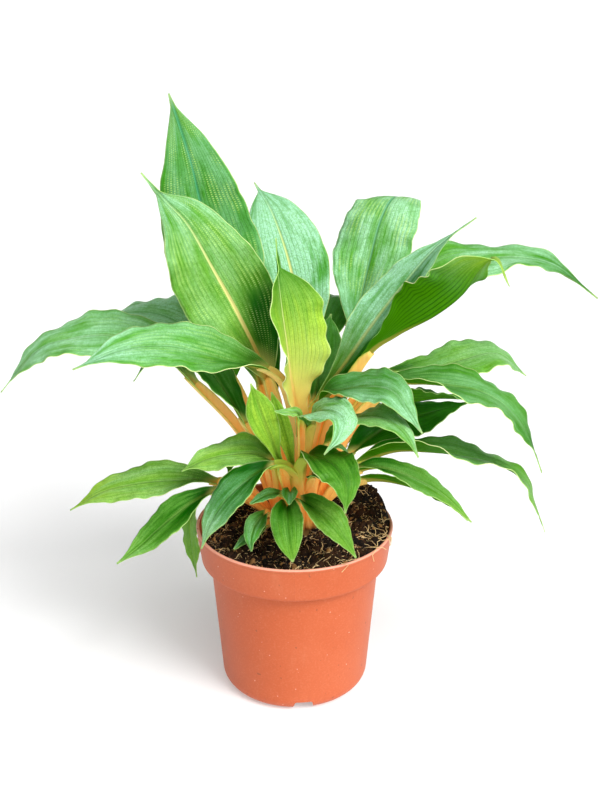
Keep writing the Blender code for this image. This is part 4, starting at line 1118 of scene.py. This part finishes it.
def scatterTree(name, shape):
    # copies of a small shape scattered over the soil's top
    tree, given = geometryTree(name, {"Density": "Float", "Seed": "Int", "Size": "Float",
                                      "Spread": "Float", "Foot": "Float", "Reach": "Float",
                                      "Tilt": "Float"})
    x, y, z = tree.apart(tree.geometry("InputPosition"))
    normal = tree.apart(tree.geometry("InputNormal"))[2]
    radius = tree.maths("SQRT", x * x + y * y)
    wanted = (normal > 0.25) * (z > given["Foot"]) * (radius < given["Reach"])
    points = tree.geometry("DistributePointsOnFaces", {
        "Mesh": given["Geometry"], "Selection": wanted, "Density": given["Density"],
        "Seed": given["Seed"]}, distribute_method="RANDOM")
    tiltX, tiltY, spin = tree.apart(chance(tree, (0.0, 0.0, 0.0), (1.0, 1.0, 2 * math.pi), 3))
    turn = tree.vector((tiltX - 0.5) * given["Tilt"], (tiltY - 0.5) * given["Tilt"], spin)
    size = chance(tree, 0.0, 1.0, 7)
    size = given["Size"] * (1.0 + given["Spread"] * size * size)
    stretch = tree.along(chance(tree, (0.7, 0.55, 0.5), (1.25, 1.1, 0.95), 11), size)
    made = tree.geometry("InstanceOnPoints", {"Points": points, "Instance": shape(tree),
                                              "Rotation": turn, "Scale": stretch})
    made = kept(tree, made, "tint", chance(tree, 0.0, 1.0, 19), "INSTANCE")
    return closeTree(tree, made, given)


def crumbShape(subdivisions, push, scale):
    # a knobbly lump about one unit across
    def shape(tree):
        ball = tree.geometry("MeshIcoSphere", {"Radius": 0.5, "Subdivisions": subdivisions})
        place = tree.geometry("InputPosition")
        spot = tree.along(place, 0.7 + push * tree.noise(place, scale, 1.0))
        return tree.geometry("SetPosition", {"Geometry": ball, "Position": spot})
    return shape


def fibreShape(tree):
    # a bent thread about one unit long
    bow = tree.geometry("CurveQuadraticBezier", {
        "Resolution": 4, "Start": (-0.5, 0.0, 0.02), "Middle": (0.05, 0.32, 0.16),
        "End": (0.5, 0.03, 0.0)})
    return threadAlong(tree, bow, 4, 0.028)


def threadAlong(tree, path, sides, radius):
    ring = tree.geometry("CurvePrimitiveCircle", {"Resolution": sides, "Radius": radius})
    return tree.geometry("CurveToMesh", {"Curve": path, "Profile Curve": ring,
                                         "Fill Caps": True})


def scattered(name, soil, shape, material, size):
    area = math.pi * (size["reach"] * mm)**2
    obj = bpy.data.objects.new(name, soil.data.copy())
    scene.collection.objects.link(obj)
    withTree(obj, scatterTree(name, shape), {
        "Density": size["count"] / area, "Seed": size["seed"], "Size": size["size"] * mm,
        "Spread": size["spread"], "Foot": soilSize["scatterFoot"] * mm,
        "Reach": size["reach"] * mm, "Tilt": size["tilt"], "Material": material})
    return placed(madePlain(obj), "soil")


def rootTree():
    # thin bent threads along polylines
    tree, given = geometryTree("roots", {"Radius": "Float", "Bend": "Float"})
    path = tree.geometry("MeshToCurve", {"Mesh": given["Geometry"]})
    swing = tree.node("ShaderNodeTexNoise", {}, {"Vector": tree.geometry("InputPosition"),
                                                 "Scale": 140.0, "Detail": 1.0})[1]
    offset = tree.along(tree.together(swing, (-0.5, -0.5, -0.5)), given["Bend"])
    path = tree.geometry("SetPosition", {"Geometry": path, "Offset": offset})
    return closeTree(tree, threadAlong(tree, path, 5, given["Radius"]), given)


def rootPath(random, start, heading, steps, turn):
    # a wandering line over the soil
    points, place = [], np.array(start, float)
    for _ in range(steps):
        x, y = place
        radius = math.hypot(x, y)
        if radius > potSize["rim"] - 3.5:
            heading += 0.6
            place *= (potSize["rim"] - 4) / radius
        points.append((x, y, float(soilHeight(x, y)) + random.uniform(0.2, 1.6)))
        heading += random.normal(0, turn)
        place += soilSize["rootStep"] * np.array([math.cos(heading), math.sin(heading)])
    return points


def rimRoot(random, bearing):
    # a thread that lies over the rim and hangs down outside
    turn, rim, top = math.radians(bearing), potSize["rim"], potSize["height"]
    points = []
    for reach, height in [(rim - 14, None), (rim - 9, None), (rim - 5, None), (rim - 2.2, top + 0.6),
                          (rim - 0.5, top + 0.7), (rim + 0.8, top - 0.6),
                          (rim + 1.0, top - random.uniform(2, 6))]:
        x, y = reach * math.cos(turn), reach * math.sin(turn)
        points.append((x, y, height or float(soilHeight(x, y)) + 0.6))
        turn += random.normal(0, 0.04)
    return points


def makeRoots(material):
    size = soilSize
    random = np.random.default_rng(4)
    paths = []
    for _ in range(size["roots"]):
        bearing, reach = random.uniform(0, 2 * math.pi), random.uniform(20, 55)
        start = (reach * math.cos(bearing), reach * math.sin(bearing))
        paths.append(rootPath(random, start, random.uniform(0, 2 * math.pi),
                              int(random.integers(6, 20)), 0.35))
    paths += [rimRoot(random, bearing) for bearing in random.uniform(-78, -8, size["rimRoots"])]
    points, edges = [], []
    for path in paths:
        edges += [(len(points) + n, len(points) + n + 1) for n in range(len(path) - 1)]
        points += path
    roots = newObject("soil_roots", np.asarray(points) * mm, edges)
    withTree(roots, rootTree(), {"Radius": size["rootRadius"] * mm, "Bend": 1.6 * mm,
                                 "Material": material})
    return placed(madePlain(roots), "soil")


soil = makeSoil(soilMaterial("soil", 0.3))
crumbEarth = soilMaterial("soil crumbs", 0.9)
scattered("soil_crumbs", soil, crumbShape(1, 0.6, 2.3), crumbEarth, crumbSize)
scattered("soil_large_crumbs", soil, crumbShape(2, 0.65, 1.9), crumbEarth, largeCrumbSize)
scattered("soil_fibres", soil, fibreShape,
          strandMaterial("coir", soilColour["brown"], soilColour["root"]), fibreSize)
makeRoots(strandMaterial("fine roots", soilColour["root"], soilColour["tan"]))

# Floor, light and camera
studioSize = dict(floor=20000.0, sweep=12000.0, sweepSteps=12, turns=96, floorGlow=0.32,
                  edgeGlow=0.62, glowRise=0.8, skyStrength=0.13,
                  key=dict(power=3.0, spread=28.0, height=44.0, bearing=-45.0),
                  top=dict(power=1.25, spread=60.0, height=76.0, bearing=-70.0),
                  front=dict(power=1.15, spread=40.0, height=20.0, bearing=-72.0))
cameraSize = dict(x=3.3, y=-651.7, z=441.4, tilt=68.6, lens=53.7, sensor=36.0, farthest=100.0)


def makeFloor():
    # a plain disc whose edge turns up all round
    size = studioSize
    material, tree, shader, place = newMaterial("pale floor")
    glow = tree.mixed(tree.smooth(tree.apart(place)[2], 0.0, size["glowRise"]),
                      (size["floorGlow"],) * 3, (size["edgeGlow"],) * 3)
    tone = tree.mixed(tree.noise(place, 3.0), (0.66, 0.66, 0.66), (0.68, 0.68, 0.68))
    tree.feed(shader, {"Base Color": tone, "Roughness": 1.0, "Specular IOR Level": 0.0,
                       "Emission Color": glow, "Emission Strength": 1.0})
    lifts = [math.radians(45 * step / size["sweepSteps"]) for step in range(size["sweepSteps"] + 1)]
    profile = [(size["floor"] + size["sweep"] * math.sin(lift),
                size["sweep"] * (1 - math.cos(lift))) for lift in reversed(lifts)]
    turnedObject("floor", profile + [(0, 0)], size["turns"], material)


def makeStudio():
    # wide lights from the front right, above and the front, and a white sky
    world = bpy.data.worlds.new("studio")
    world.use_nodes = True
    scene.world = world
    background = world.node_tree.nodes["Background"]
    background.inputs["Color"].default_value = (1.0, 1.0, 1.0, 1.0)
    background.inputs["Strength"].default_value = studioSize["skyStrength"]
    for name in ("key", "top", "front"):
        light = studioSize[name]
        lamp = bpy.data.lights.new(name, "SUN")
        lamp.energy = light["power"]
        lamp.angle = math.radians(light["spread"])
        obj = bpy.data.objects.new(name, lamp)
        scene.collection.objects.link(obj)
        obj.rotation_euler = (math.radians(90 - light["height"]), 0,
                              math.radians(90 + light["bearing"]))


def makeCamera():
    # at the photo's viewing angle
    size = cameraSize
    camera = bpy.data.objects.new("camera", bpy.data.cameras.new("camera"))
    scene.collection.objects.link(camera)
    camera.location = (size["x"] * mm, size["y"] * mm, size["z"] * mm)
    camera.rotation_euler = (math.radians(size["tilt"]), 0, 0)
    camera.data.lens = size["lens"]
    camera.data.sensor_width = size["sensor"]
    camera.data.clip_end = size["farthest"]
    scene.camera = camera


makeFloor()
makeStudio()
makeCamera()
